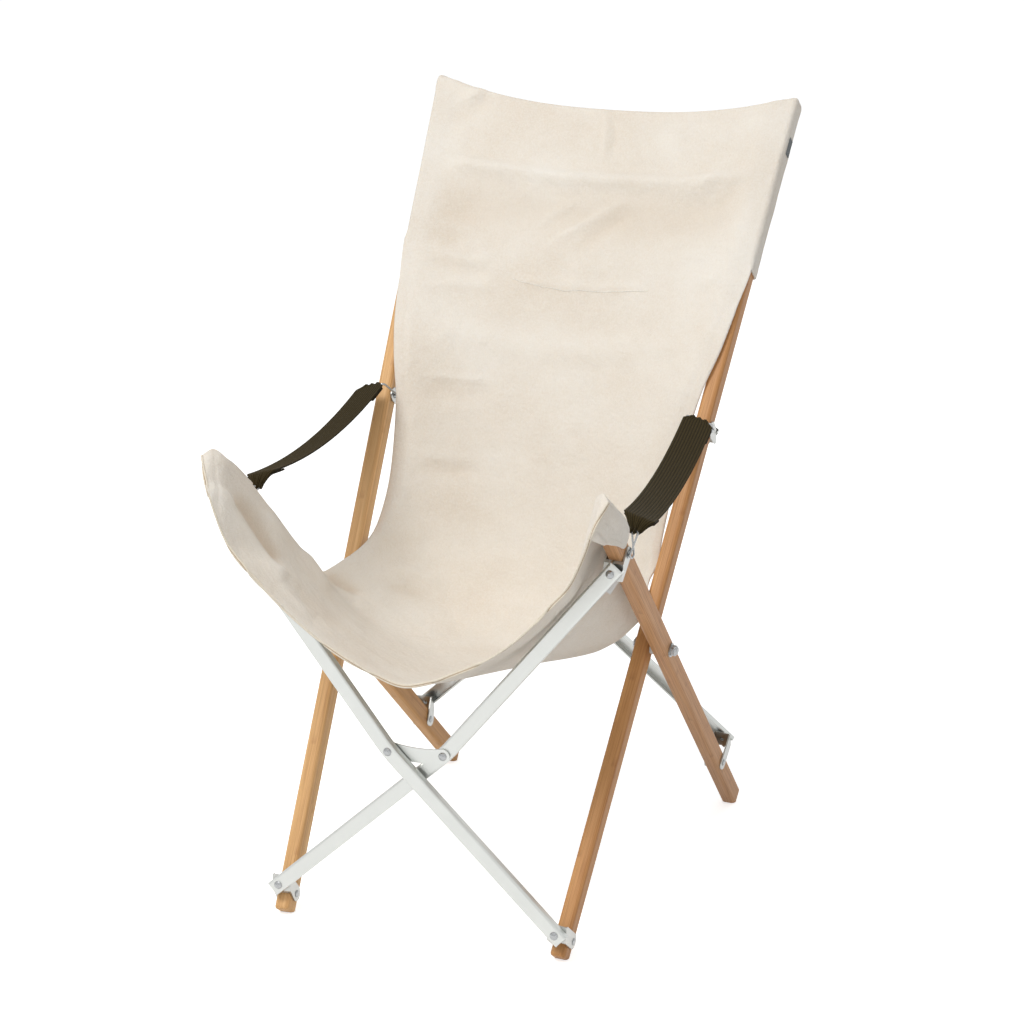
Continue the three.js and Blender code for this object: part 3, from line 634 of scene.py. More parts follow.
# %% Curves
def catmull(points, u):
    """A centripetal Catmull-Rom curve through rows of points, where u counts rows.

    Between two points it is a cubic. Its slope at each end is the mean of the slopes before and after, weighted
    by the square roots of the distances.
    """
    points = np.asarray(points, float)
    padded = np.concatenate([[2 * points[0] - points[1]], points, [2 * points[-1] - points[-2]]])
    u = np.clip(np.asarray(u, float), 0, len(points) - 1)
    i = np.minimum(u.astype(int), len(points) - 2)
    w = (u - i).reshape(-1, *[1] * (points.ndim - 1))
    p0, p1, p2, p3 = (padded[i + k] for k in range(4))

    def gap(a, b):
        """The root of the distance, which is never quite nothing."""
        return np.maximum(np.linalg.norm(a - b, axis=-1, keepdims=True), 1e-9) ** 0.5

    d0, d1, d2 = gap(p0, p1), gap(p1, p2), gap(p2, p3)
    t1 = ((p1 - p0) / d0 - (p2 - p0) / (d0 + d1) + (p2 - p1) / d1) * d1
    t2 = ((p2 - p1) / d1 - (p3 - p1) / (d1 + d2) + (p3 - p2) / d2) * d1
    return p1 + t1 * w + (3 * (p2 - p1) - 2 * t1 - t2) * w ** 2 + (2 * (p1 - p2) + t1 + t2) * w ** 3


def smooth(x):
    """A soft step from 0 to 1: three times x squared less twice x cubed."""
    x = np.clip(x, 0, 1)
    return x * x * (3 - 2 * x)


def lengths_along(path):
    """How far along the path each of its points lies: the running sum of the steps."""
    return np.concatenate([[0], np.cumsum(np.linalg.norm(np.diff(path, axis=0), axis=1))])


def evenly(path, step):
    """The path again, with points a step apart."""
    path = np.asarray(path, float)
    run = lengths_along(path)
    at = np.linspace(0, run[-1], max(2, int(round(run[-1] / step)) + 1))
    return np.stack([np.interp(at, run, path[:, k]) for k in range(path.shape[1])], -1)


def unit(vectors):
    """The same directions, each one long."""
    return vectors / np.maximum(np.linalg.norm(vectors, axis=-1, keepdims=True), 1e-12)


print("a soft step at a quarter is", smooth(0.25))


# %% Points and faces into a mesh
def piece(name, verts, faces, material, uvs=None):
    """A smooth-shaded object of the given points, with one UV pair for each point."""
    mesh = bpy.data.meshes.new(name)
    mesh.from_pydata(np.asarray(verts, float).tolist(), [], [tuple(map(int, f)) for f in faces])
    mesh.validate()
    if uvs is not None:
        layer = mesh.uv_layers.new(name="UVMap")
        corner = np.zeros(len(mesh.loops), int)
        mesh.loops.foreach_get("vertex_index", corner)
        layer.data.foreach_set("uv", np.asarray(uvs, float)[corner].astype(np.float32).ravel())
    mesh.polygons.foreach_set("use_smooth", np.ones(len(mesh.polygons), bool))
    mesh.materials.append(material)
    mesh.update()
    thing = bpy.data.objects.new(name, mesh)
    bpy.context.scene.collection.objects.link(thing)
    print("piece", name, len(mesh.vertices), "points,", len(mesh.polygons), "faces")
    return thing


def grid_faces(rows, columns, start=0, wrap=False):
    """Quads of a grid whose points lie row after row: each point, the next, and the two under them."""
    index = np.arange(rows * columns).reshape(rows, columns) + start
    if wrap:
        index = np.concatenate([index, index[:, :1]], 1)
    a, b, c, d = index[:-1, :-1], index[:-1, 1:], index[1:, 1:], index[1:, :-1]
    return np.stack([a, b, c, d], -1).reshape(-1, 4)


def point_normals(verts, faces):
    """Which way the surface faces at each point: the sum of the cross products of the faces round it, made one."""
    normals = np.zeros_like(verts)
    for k in range(1, faces.shape[1] - 1):
        n = np.cross(verts[faces[:, k]] - verts[faces[:, 0]], verts[faces[:, k + 1]] - verts[faces[:, 0]])
        for j in (0, k, k + 1):
            np.add.at(normals, faces[:, j], n)
    return unit(normals)


def grid_normals(grid):
    """The same for a grid of rows and columns."""
    return point_normals(grid.reshape(-1, 3), grid_faces(*grid.shape[:2])).reshape(grid.shape)


# %% [markdown]
# ### Thickness
#
# Cloth without thickness has no edge, and its hem can't be seen. Solidify would give it one, but the thickness has
# to change over the sling, as a hem is two or three layers, and the painted shade and light of the folds go on the
# side that faces the camera only.
# So the middle surface is copied half a thickness to each side, and a rim joins the copies. A raw edge bulges a
# little, like a fold. Where two panels meet edge to edge, the rim is flat and its edges stay sharp, so that the
# shading runs straight across the joint.

# %% Cloth
bulged, butted = 0.8, 0.02


def cloth(name, verts, faces, uvs, thick, material, bulge=bulged, valley=None):
    """A closed cloth: middle surface plus and minus half the thickness along its normal, with a rim round it.

    A rim point stands out from the edge by the half thickness times the bulge, away from the faces beside it.
    """
    faces = np.asarray(faces)
    verts = np.asarray(verts, float)
    uvs = np.asarray(uvs)
    n = len(verts)
    normals = point_normals(verts, faces)
    half = (np.broadcast_to(thick, n) / 2)[:, None]
    bulge = np.broadcast_to(bulge, n)

    sides = np.stack([faces, np.roll(faces, -1, 1)], -1).reshape(-1, 2)
    _, first, count = np.unique(np.sort(sides, 1), axis=0, return_index=True, return_counts=True)
    rim = sides[first[count == 1]]
    edge_points = np.unique(rim)
    around, seen_by = np.zeros((n, 3)), np.zeros((n, 1))
    face_centre = verts[faces].mean(1)
    for j in range(faces.shape[1]):
        np.add.at(around, faces[:, j], face_centre)
        np.add.at(seen_by, faces[:, j], 1)
    outward = unit(verts[edge_points] - around[edge_points] / seen_by[edge_points])
    rim_points = verts[edge_points] + outward * half[edge_points] * bulge[edge_points, None]

    number = np.full(n, -1)
    number[edge_points] = np.arange(len(edge_points)) + 2 * n
    a, b = rim[:, 0], rim[:, 1]
    quads = np.concatenate([
        faces, faces[:, ::-1] + n,
        np.stack([b, a, number[a], number[b]], -1),
        np.stack([number[b], number[a], a + n, b + n], -1)])
    all_points = np.concatenate([verts + normals * half, verts - normals * half, rim_points])
    made = piece(name, all_points, quads, material, np.concatenate([uvs, uvs, uvs[edge_points]]))

    ends = np.zeros(len(made.data.edges) * 2, int)
    made.data.edges.foreach_get("vertices", ends)
    on_edge = np.zeros(len(all_points), bool)
    flat_rim = edge_points[bulge[edge_points] < 0.1]
    on_edge[flat_rim] = on_edge[flat_rim + n] = True
    sharp = made.data.attributes.new("sharp_edge", "BOOLEAN", "EDGE")
    sharp.data.foreach_set("value", on_edge[ends.reshape(-1, 2)].all(1))
    # The valley attribute carries the painted shade and light of the folds: on the side that faces the camera only,
    # zero on the other side and on the rim.
    if valley is not None:
        low = made.data.attributes.new("valley", "FLOAT", "POINT")
        seen = np.sum(normals * view_back, 1).mean() > 0
        low.data.foreach_set("value", np.concatenate([valley * seen, valley * (not seen), valley[edge_points] * 0]))
    return made


print("a rim bulges by", bulged, "of the half thickness, and by", butted, "where panels meet")

# %% [markdown]
# ### Wire and thread
#
# A round section is carried along a path. At each place it needs two directions square to the path, and these
# mustn't spin, or the tube would look wrung. Each pair is made from the one before it, by taking out what now
# points along the path. The ends are rounded off with one smaller ring and closed.


# %% Tubes
def frames_along(path):
    """Tangents of a path and two sideways directions that don't twist.

    Each sideways direction is the one before less its part along the new tangent. As each needs the one before,
    this is a short loop over the places on the path.
    """
    tangent = np.gradient(path, axis=0)
    tangent /= np.linalg.norm(tangent, axis=1, keepdims=True)
    side = np.zeros_like(path)
    start = np.eye(3)[np.argmin(abs(tangent[0]))]
    side[0] = start - tangent[0] * (start @ tangent[0])
    for i in range(1, len(path)):
        side[i] = side[i - 1] - tangent[i] * (side[i - 1] @ tangent[i])
    side /= np.linalg.norm(side, axis=1, keepdims=True)
    return tangent, side, np.cross(tangent, side)


def tube(path, radius, sides, start=0):
    """Points and faces of a round tube: the path plus the radius times cosine and sine of the way round."""
    path = np.asarray(path, float)
    tangent, side, other = frames_along(path)
    angle = np.arange(sides) * 2 * math.pi / sides
    ring = np.cos(angle)[None, :, None] * side[:, None] + np.sin(angle)[None, :, None] * other[:, None]
    points = path[:, None] + ring * radius
    head = path[0] + (ring[0] * 0.6 - tangent[0] * 0.7) * radius
    tail = path[-1] + (ring[-1] * 0.6 + tangent[-1] * 0.7) * radius
    points = np.concatenate([[head], points, [tail]])
    faces = [tuple(f) for f in grid_faces(len(path) + 2, sides, start, wrap=True)]
    faces.append(tuple(start + i for i in range(sides))[::-1])
    faces.append(tuple(start + (len(path) + 1) * sides + i for i in range(sides)))
    return points.reshape(-1, 3), [f[::-1] for f in faces]


def tubes(name, paths, radius, material, sides):
    """One piece of several round tubes."""
    points, faces = [], []
    for path in paths:
        p, f = tube(path, radius, sides, sum(map(len, points)))
        points.append(p)
        faces += f
    points = np.concatenate(points)
    return piece(name, points, faces, material, points[:, :2])


stitch_long, stitch_gap = 0.0026, 0.0013


def stitches(path, lift):
    """Each stitch has four points: a little in, two lifted points a quarter and three quarters along, a little in."""
    fine = evenly(path, stitch_long + stitch_gap)
    a = fine[:-1]
    b = a + (fine[1:] - a) * stitch_long / (stitch_long + stitch_gap)
    return np.stack([a - lift * 0.1, a * 0.75 + b * 0.25 + lift, a * 0.25 + b * 0.75 + lift, b - lift * 0.1], 1)


print("stitches of", stitch_long / MM, "mm,", stitch_gap / MM, "mm apart")

# %% [markdown]
# ## The shape of the sling
#
# One long cloth runs from the tops of the posts down the back, round the trough of the seat and up to the tips of
# the legs. It could be simulated, but a sling under no load lies where its edges hold it, so it is drawn instead:
# a net of rows, each bowed from its middle out to an edge that follows the wood. Rows 0 to 11 are the back panel
# and the rest is the seat. The right half is given, and the left half mirrors it.

# %% Cloth, columns, and how the rows bow
cloth_thick = 0.0016
hug = 0.0012
panel_front = post_deep / 2 + hug
joint_row = 11
shares = np.array([0, 0.133, 0.274, 0.402, 0.548, 0.676, 0.751, 0.834, 0.9, 0.95, 1.0])
bow_low = np.interp(shares, [0, 0.213, 0.426, 0.638, 0.8, 0.963, 1], [0, 0.018, 0.15, 0.29, 0.52, 0.95, 1])
bow_hem = np.array([0, 0.033, 0.104, 0.175, 0.283, 0.4125, 0.5, 0.6, 0.746, 0.896, 1])
print("halfway to the edge the trough has risen by", round(float(np.interp(0.5, shares, bow_low)), 2), "of its rise")


def sling_row(middle, edge, bow, bow_back=None):
    """Half a row. Outward it is a share of the edge's. Back and up it goes from the middle to the edge by the bow."""
    bow_back = bow if bow_back is None else bow_back
    x = edge[0] * shares
    y = middle[1] + (edge[1] - middle[1]) * bow_back
    z = middle[2] + (edge[2] - middle[2]) * bow
    return np.stack([x, y, z], -1)


# %% Rows of the back
# Edges: the share of the post's length above the bolt, then metres outward and in front of the post's axis.
# Middles: how far back and how high, as shares of the leg's reach and of the pivot's height.
back_edges = [
    (1, 0.0102, panel_front), (0.85, 0.0102, panel_front), (0.676, 0.0102, panel_front),
    (0.605, 0.0054, 0.0158), (0.52, -0.0004, 0.0168), (0.45, -0.0090, 0.0155), (0.38, -0.0162, 0.0025),
    (0.25, -0.0202, -0.0135), (0.185, -0.018, -0.015), (0.146, -0.0144, -0.01225), (0.109, -0.0133, 0.0065)]
back_middles = [(1.43, 2.8), (1.24, 2.545), (1.03, 2.255), (0.94, 2.12), (0.845, 1.97), (0.76, 1.83),
                (0.675, 1.67), (0.545, 1.34), (0.445, 1.12), (0.34, 0.99), (0.18, 0.915)]
flat_on_post = 0.0236


def back_rows():
    """Each row lies flat against the post and bows between the posts by the share to the power 2.5.

    The flat part fades out over the lower rows, where the cloth has left the wood.
    """
    rows = []
    for k, ((along, outward, front), (reach_share, rise_share)) in enumerate(zip(back_edges, back_middles)):
        edge = on_post(along * post_above, outward, front)
        middle = np.array([0, reach_share * leg_reach + pivot[1], rise_share * pivot[2]])
        flat = (1 - smooth(np.array((k - 6) / 5))) * flat_on_post / edge[0]
        rows.append(sling_row(middle, edge, np.minimum(1, shares / (1 - flat)) ** 2.5))
    return rows


print(len(back_edges), "rows down the back")

# %% Rows of the seat
# From the leg's tip, above the leg, back and height of the row's middle, and how much its bow is the hem's.
seat_middles = ((0.268, 0.013, -0.058, 0.2805, 0.25), (0.157, 0.015, -0.132, 0.290, 0.5),
                (0.07, 0.0175, -0.200, 0.302, 0.8))


def seat_rows():
    """Two rows round the pivot, then rows along the leg's inner face, whose bow turns into that of the hem."""
    low_edge = np.array([0.188, 0.010 + pivot[1], 0.372])
    notch = np.array([0.2075, -0.037 + pivot[1], 0.361])
    rows = [sling_row(np.array([0, 0.008 + pivot[1], 0.278]), low_edge, bow_low),
            sling_row(np.array([0, -0.026 + pivot[1], 0.2785]), notch, bow_low, bow_low ** 1.1)]
    for from_tip, up, y, z, share in seat_middles:
        edge = on_leg(from_tip, -0.0102, up)
        bow = bow_low * (1 - share) + bow_hem * share
        rows.append(sling_row(np.array([0, y + pivot[1], z]), edge, bow, bow ** 1.2))
    return rows


print(2 + len(seat_middles), "rows along the seat")

# %% Rows of the front hem
# Points of the hem from the middle to the leg's tip: outward, back of the pivot and up, in millimetres.
hem_points = [
    (0, -265, 318), (32, -265, 326), (66, -272, 343), (97, -272, 360), (132, -275, 386), (163, -281, 417),
    (181, -287, 438), (201, -288, 462), (217, -288, 497), (229, -286, 533), (241, -274, 558)]


def hem_rows():
    """The hem's own row, one 14 mm behind it, and one about a third of the way between them.

    Near the edge they are given on the leg instead, since the cloth goes round its tip.
    """
    hem = np.array(hem_points) * MM
    hem[:, 1] += pivot[1]
    behind = hem + np.array([0, 0.014, -0.002])
    behind[-3:] = on_leg([0.022, 0.006, 0.001], [-0.014, -0.0108, -0.0102], [-0.042, -0.012, 0.014])
    tip = behind * 0.35 + hem * 0.65
    tip[-2:] = on_leg([-0.0105, -0.0155], [-0.002, 0.0005], [0.001, 0.0165])
    hem[-1] = on_leg(-0.0185, 0.0105, 0.0065)
    return [behind, tip, hem]


right_half = np.array(back_rows() + seat_rows() + hem_rows())
left_half = right_half[:, :0:-1] * np.array([-1, 1, 1])
net = np.concatenate([left_half, right_half], 1)
net_shares = np.concatenate([-shares[:0:-1], shares])
last_row = len(net) - 1
print("net of", net.shape[0], "rows and", net.shape[1], "columns, widest", round(2 * net[..., 0].max(), 3), "m")


# %% The surface through the net
def sling(t, share):
    """Points of the sling at rows t and shares across, from -1 at the left edge to 1 at the right.

    A curve down each column of the net gives the row, and a curve across that row gives the point.
    """
    lines = catmull(net, t)
    share = np.broadcast_to(share, (len(lines), np.shape(share)[-1]))
    column = np.interp(share, net_shares, np.arange(len(net_shares)))
    return np.stack([catmull(lines[i], column[i]) for i in range(len(lines))])


seat_lowest = sling(np.linspace(0, last_row, 80), np.array([0.0]))[:, 0, 2].min()
print("the trough's lowest point is", round(float(seat_lowest), 3), "m above the floor")

# %% [markdown]
# ### Folds
#
# A new sling has folds from being packed, and soft waves where it is pulled. Random bumps would look like dented
# plaster, because a fold is long, has a direction, and is steeper on one side. So each fold is drawn as a line
# over the picture, with a width to each side, and the surface is pushed along its normal by a bell curve of the
# distance from that line. The distance is measured in the camera's pixels, where the line was drawn. Valleys and
# crests are kept, because the canvas paints shade into the valleys and light onto the crests.


# %% Pushing folds into a surface
def crease(pix, line, widths, height, fade):
    """Height times e to the minus (distance / width) squared, with a width for each side of the line.

    A line drawn downward has its first width on the left. The fold fades in and out over a share of its length.
    """
    line = np.asarray(line, float)
    widths = np.broadcast_to(widths, 2)
    best = np.full(pix.shape[:-1], np.inf)
    at, side = np.zeros(best.shape), np.zeros(best.shape)
    run = lengths_along(line)
    for a, b, start in zip(line[:-1], line[1:], run[:-1]):
        step = b - a
        w = np.clip(((pix - a) @ step) / (step @ step), 0, 1)
        away = pix - a - w[..., None] * step
        gap = np.linalg.norm(away, axis=-1)
        nearer = gap < best
        at = np.where(nearer, (start + w * np.linalg.norm(step)) / run[-1], at)
        side = np.where(nearer, step[0] * away[..., 1] - step[1] * away[..., 0], side)
        best = np.minimum(best, gap)
    width = np.where(side > 0, widths[0], widths[1])
    ends = smooth(at / fade) * smooth((1 - at) / fade)
    return height * np.exp(-((best / width) ** 2)) * ends


def push(grid, faces, creases, free=1.0):
    """Moves a grid along its normals, toward the camera, by the sum of its folds, less where it isn't free."""
    points = grid.reshape(-1, 3)
    pix = pixels(points)
    normals = point_normals(points, faces)
    toward = np.sign(np.sum(normals * view_back, 1).mean()) or 1.0
    shift = sum(crease(pix, *c) for c in creases) * MM
    shift = shift * np.broadcast_to(free, grid.shape[:-1]).ravel()
    return (points + normals * (shift * toward)[:, None]).reshape(grid.shape), shift.reshape(grid.shape[:-1])


def valleys(shift, depth):
    """How deep each place lies in a fold, for the painted shade and light: 1 at the given depth in metres, -1 on a
    crest of that height.
    """
    return np.clip(-shift / depth, -1, 1).ravel()


bell = crease(np.array([[5.0, 0.0]]), [(0, -50), (0, 50)], 5, 2.0, 0.3)
print("a fold of 2 mm is", round(float(bell[0]), 2), "mm high one width away from its line")

# %% [markdown]
# ## Back panel with its two sleeves
#
# At the top the sides of the panel wrap round the posts, as a sleeve goes round an arm, and are sewn down on the
# panel's rear. The sleeves are closed over the posts' ends. Below them the edge is only hemmed, and it leaves the
# wood and hangs free between the posts.
#
# The panel comes first. It gets more rows near the top, and columns of its own for the strip that lies on the
# post, so that the turn over the post's corner has enough points to look round.

# %% Folds of the back
# Each fold: its line in the picture, its width or its two widths in pixels, its height in millimetres, where less
# than nothing is a valley, and the share of its length over which it fades at each end.
back_creases = [
    ([(492, 88), (470, 96), (434, 113)], 4, 5.1, 0.3),
    ([(498, 96), (470, 112), (440, 124)], 7, -3.2, 0.3),
    ([(408, 163), (470, 163), (560, 176), (680, 183), (797, 168)], (9, 4.5), 7.5, 0.06),
    ([(392, 206), (480, 208), (580, 216), (680, 222), (800, 205)], 26, -6.5, 0.16),
    ([(604, 106), (606, 140), (601, 172)], 3, 2.2, 0.45),
    ([(612, 106), (615, 138), (612, 165)], 3, -1.8, 0.35),
    ([(636, 194), (600, 212), (566, 232), (538, 252)], (2.5, 5), 4.0, 0.35),
    ([(640, 206), (606, 226), (566, 258)], 7, -3.0, 0.3),
    ([(590, 196), (560, 208), (528, 230)], 4, 1.8, 0.4),
    ([(404, 222), (450, 224), (480, 232)], 4, 3.0, 0.3),
    ([(402, 236), (440, 236), (470, 246)], 6, -2.6, 0.3),
    ([(398, 250), (430, 247), (470, 262), (500, 258)], 6, 3.0, 0.3),
    ([(396, 266), (440, 262), (500, 276)], 7, -2.8, 0.3),
    ([(396, 285), (460, 284), (510, 290)], 6, 2.8, 0.3),
    ([(745, 150), (700, 190), (655, 200)], 6, 2.6, 0.4),
    ([(760, 170), (716, 206), (672, 214)], 5, -1.6, 0.4),
    ([(500, 277), (540, 283), (590, 288), (660, 287)], 6, 2.4, 0.2),
    ([(580, 262), (575, 285), (578, 310)], 5, 1.0, 0.4),
    ([(620, 262), (612, 284), (590, 330)], 7, 1.1, 0.4),
    ([(700, 284), (726, 272), (752, 252)], 5, 3.2, 0.3),
    ([(690, 296), (722, 286), (748, 270)], 6, -2.6, 0.3),
    ([(400, 330), (470, 335), (560, 350), (690, 345)], 15, 3.8, 0.2),
    ([(390, 374), (430, 376), (520, 384)], 4, 1.8, 0.35),
    ([(390, 388), (440, 392), (510, 400)], 11, -2.2, 0.35),
    ([(388, 452), (430, 455), (490, 464)], 4, 2.2, 0.3),
    ([(388, 468), (430, 470), (492, 476)], (8, 10), -3.2, 0.35),
    ([(360, 560), (400, 568), (450, 590)], 6, 5.1, 0.3),
    ([(352, 572), (400, 590), (440, 600)], 5, -3.8, 0.3),
]
print(len(back_creases), "folds on the back")

# %% Rows and columns of the back
sleeve_end = 0.4752
corner_count = 12
back_t = np.concatenate([np.linspace(0, 2.6, 60), np.linspace(2.6, joint_row, 156)[1:]])
edge_x = np.abs(catmull(net, back_t)[:, -1, 0])[:, None]
on_wood = (post_thick + 2 * hug) / edge_x
inner = np.linspace(-1, 1, 151)[None] * (1 - on_wood)
corner = np.linspace(0, 1, corner_count + 1)[1:][None] * on_wood
back_across = np.concatenate([(-1 + on_wood) - corner[:, ::-1], inner, (1 - on_wood) + corner], 1)
back_grid = sling(back_t, back_across)
rows, columns = back_grid.shape[:2]
back_faces = grid_faces(rows, columns)
print("back", rows, "x", columns, "points")

# %% The turn over the post's outer corner
turn_radius = 0.006
outer_face, front_face = post_thick / 2 + hug, post_deep / 2 + hug


def turned(block, side):
    """Points past the start of the corner drop back along a quarter circle.

    The drop is the radius less the root of the radius squared less the overhang squared. It fades out over 2 cm
    where the sleeve ends.
    """
    start = on_post(0.0, 0, 0, side)
    axis, sideways, front = (on_post(*one, side) - start for one in ((1.0, 0, 0), (0, 1.0, 0), (0, 0, 1.0)))
    local = block - start
    over = np.clip(local @ sideways - (outer_face - turn_radius), 0, turn_radius * 0.995)
    drop = turn_radius - np.sqrt(turn_radius ** 2 - over ** 2)
    return block - (drop * smooth((local @ axis - sleeve_end) / 0.02))[..., None] * front


back_grid[:, -corner_count:] = turned(back_grid[:, -corner_count:], 1)
back_grid[:, :corner_count] = turned(back_grid[:, :corner_count], -1)
print("the cloth turns round the post on a radius of", turn_radius / MM, "mm")

# %% Folds, UVs and hems of the back
hem_wide, hem_step, hem_extra = 0.012, 0.0012, 0.0013
free = smooth(((1 - on_wood) - np.abs(back_across)) / 0.2)
back_grid, back_shift = push(back_grid, back_faces, back_creases, free)
back_run = lengths_along(back_grid[:, columns // 2])
back_uv = np.stack([back_across * edge_x, np.broadcast_to(back_run[:, None], back_across.shape)], -1)
top_hem = smooth((hem_wide - back_run) / hem_step)[:, None]
side_hem = smooth((hem_wide - (1 - np.abs(back_across)) * edge_x) / hem_step) * smooth((back_t - 2.9) / 0.3)[:, None]
back_thick = cloth_thick + hem_extra * np.maximum(top_hem, side_hem)
print("folds from", round(back_shift.min() / MM, 1), "to", round(back_shift.max() / MM, 1), "mm, the panel is",
      round(back_run[-1], 3), "m long")

# %% [markdown]
# ### Sleeves and their caps
#
# The sleeve is a profile carried along the post: from the panel's outer edge down the post's outer face, round the
# rear, up the inner face, and on as an allowance that lies flat behind the panel. A slow wave of half a millimetre
# keeps it from looking like a box. At the top the loop round the post is drawn in and up in five smaller loops,
# and the last one is closed by a lid of quads, as a fan of triangles would pinch the shading.

# %% The sleeve's profile
section_radius = 0.0035
wave_high, wave_along, wave_round = 0.0005, 90, 55
allowance = np.array([0.003, 0.007, 0.011, 0.015, 0.019])
allowance_back = np.array([0.0024, 0.002, 0.0019, 0.0019, 0.0019])


def sleeve_section():
    """Outward and front of the post's axis: three straight runs, joined by quarter circles, and a last step in."""
    r, x1, f1 = section_radius, outer_face, front_face
    turn = np.linspace(0, math.pi / 2, 6)[1:]
    down = f1 - np.linspace(0.0078, 2 * f1 - r, 13)
    inward = x1 - np.linspace(r, 2 * x1 - r, 8)[1:]
    forward = -f1 + np.linspace(r, 2 * f1 - 0.0065, 10)[1:]
    runs = [(np.full(13, x1), down), (x1 - r + r * np.cos(turn), -f1 + r - r * np.sin(turn)),
            (inward, np.full(7, -f1)), (-x1 + r - r * np.sin(turn), -f1 + r - r * np.cos(turn)),
            (np.full(9, -x1), forward), ([-x1 - 0.0004], [f1 - 0.0045])]
    return np.concatenate([np.stack(run, 1) for run in runs])


section = sleeve_section()
round_post = lengths_along(section)
arc = np.concatenate([round_post, round_post[-1] + allowance])
print("the cloth goes", round(arc[-1] / MM, 1), "mm round the post and behind the panel")


# %% Several grids in one cloth
class Patchwork:
    """Points of one cloth that come from several grids, with their UVs, thicknesses and faces."""

    def __init__(self):
        """Starts without any points."""
        self.verts, self.uvs, self.thick, self.faces, self.count = [], [], [], [], 0

    def add(self, points, uvs, thick):
        """Takes in a grid of points and gives their numbers, in the grid's own shape."""
        shape = points.shape[:-1]
        self.verts.append(points.reshape(-1, 3))
        self.uvs.append(uvs.reshape(-1, 2))
        self.thick.append(np.broadcast_to(thick, shape).ravel())
        numbers = np.arange(math.prod(shape)).reshape(shape) + self.count
        self.count += numbers.size
        return numbers

    def quads(self, a, b, c, d, flip=False):
        """Takes in the faces between four arrays of numbers, turned over where that is asked."""
        corners = np.stack([a, b, c, d], -1).reshape(-1, 4)
        self.faces.append(corners[:, ::-1] if flip else corners)


whole_back = Patchwork()
panel_numbers = whole_back.add(back_grid, back_uv, back_thick)
whole_back.faces.append(back_faces)
front_normals = grid_normals(back_grid)
front_normals = front_normals * np.sign(np.sum(front_normals[rows // 4, columns // 2] * view_back))
print("the panel brings", whole_back.count, "points")


# %% One sleeve
def sleeve(side):
    """The profile at each row of the panel that lies above the sleeve's end, then five columns behind the panel.

    The wave is half a millimetre times the positive part of a sine of the way along and round the post.
    """
    edge = columns - 1 if side == 1 else 0
    start = on_post(0.0, 0, 0, side)
    axis = on_post(1.0, 0, 0, side) - start
    along = (back_grid[:, edge] - start) @ axis
    inside = np.nonzero(along > sleeve_end)[0]
    here = along[inside][:, None]
    ring = on_post(here, section[:, 0], section[:, 1], side)
    away = unit(ring - on_post(here, 0 * section[:, 0], 0 * section[:, 1], side))
    wave = wave_high * np.sin(here * wave_along + round_post * wave_round)
    ring = ring + away * np.maximum(wave, 0)[..., None]
    behind = edge - side * (corner_count + np.arange(len(allowance)))
    sewn_down = back_grid[inside][:, behind] - front_normals[inside][:, behind] * allowance_back[:, None]
    ring = np.concatenate([ring, sewn_down], 1)
    size = (len(inside), len(arc))
    ring_uv = np.stack([np.broadcast_to(side * (edge_x[0] + arc), size),
                        np.broadcast_to(back_run[inside][:, None], size)], -1)
    end_hem = smooth((here[-1] + hem_wide - here) / 0.0015)
    numbers = whole_back.add(ring, ring_uv, np.broadcast_to(cloth_thick + 0.0010 * end_hem, size))
    joined = np.concatenate([panel_numbers[inside, edge][:, None], numbers], 1)
    a, b, c, d = joined[:-1, :-1], joined[:-1, 1:], joined[1:, 1:], joined[1:, :-1]
    if side == 1:
        whole_back.quads(a, b, c, d)
    else:
        whole_back.quads(b, a, d, c)
    return ring[0], ring_uv[0], numbers[0], axis, along[0]


print("a sleeve adds", len(arc), "columns of points to the panel")

# %% The cap over the post's end
cap_loops = ((0.985, 0.003), (0.93, 0.0056), (0.8, 0.0076), (0.55, 0.0088), (0.2, 0.0092))


def cap(side, ring, ring_uv, numbers, axis, top):
    """Loops that shrink by a scale toward the post's axis and rise along it, most on the outer side.

    The last loop has an even number of points, so one half of it faces the other, and quads join the two halves.
    """
    on_front = np.arange(columns - corner_count - 1, columns) if side == 1 else np.arange(corner_count, -1, -1)
    kept = len(section) - 1
    loop = np.concatenate([back_grid[0, on_front], ring[:kept]])
    loop_uv = np.concatenate([back_uv[0, on_front], ring_uv[:kept]])
    previous = np.concatenate([panel_numbers[0, on_front], numbers[:kept]])
    centre = on_post(top, 0, 0, side)
    sideways = on_post(top, 1, 0, side) - centre
    outer = 0.5 + 0.5 * ((loop - centre) @ sideways) / (outer_face + 0.001)
    for scale, rise in cap_loops:
        points = centre + (loop - centre) * scale + axis * (rise * (0.25 + 0.75 * outer))[:, None]
        ids = whole_back.add(points, loop_uv + np.array([0, -rise]), cloth_thick)
        whole_back.quads(previous, np.roll(previous, -1), np.roll(ids, -1), ids, flip=side == 1)
        previous = ids
    half = len(loop) // 2
    one, other = previous[:half], previous[::-1][:half]
    whole_back.quads(one[:-1], one[1:], other[1:], other[:-1], flip=side == 1)
    return len(loop)


for side, word in both_sides:
    print("the", word, "cap's loop has", cap(side, *sleeve(side)), "points")

# %% The back as one cloth
back_bulge = np.full(whole_back.count, bulged)
back_bulge[panel_numbers[-1]] = butted
# Painted shade and light of the back's folds, full at a depth of 2 cm, so weaker than on the seat.
back_valleys = np.append(valleys(back_shift, 0.02), np.zeros(whole_back.count - back_shift.size))
back_piece = cloth("back_cover", np.concatenate(whole_back.verts), np.concatenate(whole_back.faces),
                   np.concatenate(whole_back.uvs), np.concatenate(whole_back.thick), canvas, back_bulge, back_valleys)
print("across the top, with both sleeves laid flat,", round(lengths_along(back_grid[0])[-1] + 2 * arc[-1], 3), "m")

# %% [markdown]
# ## Seat panel
#
# The seat hangs in a trough between the legs and rises to their tips, like the lip of a jug. It is the same
# surface, from the joint with the back to the front hem. The columns crowd toward the sides, where the cloth turns
# up steeply and an even spacing would show corners. Its folds lie where it is pulled up to the leg tips.

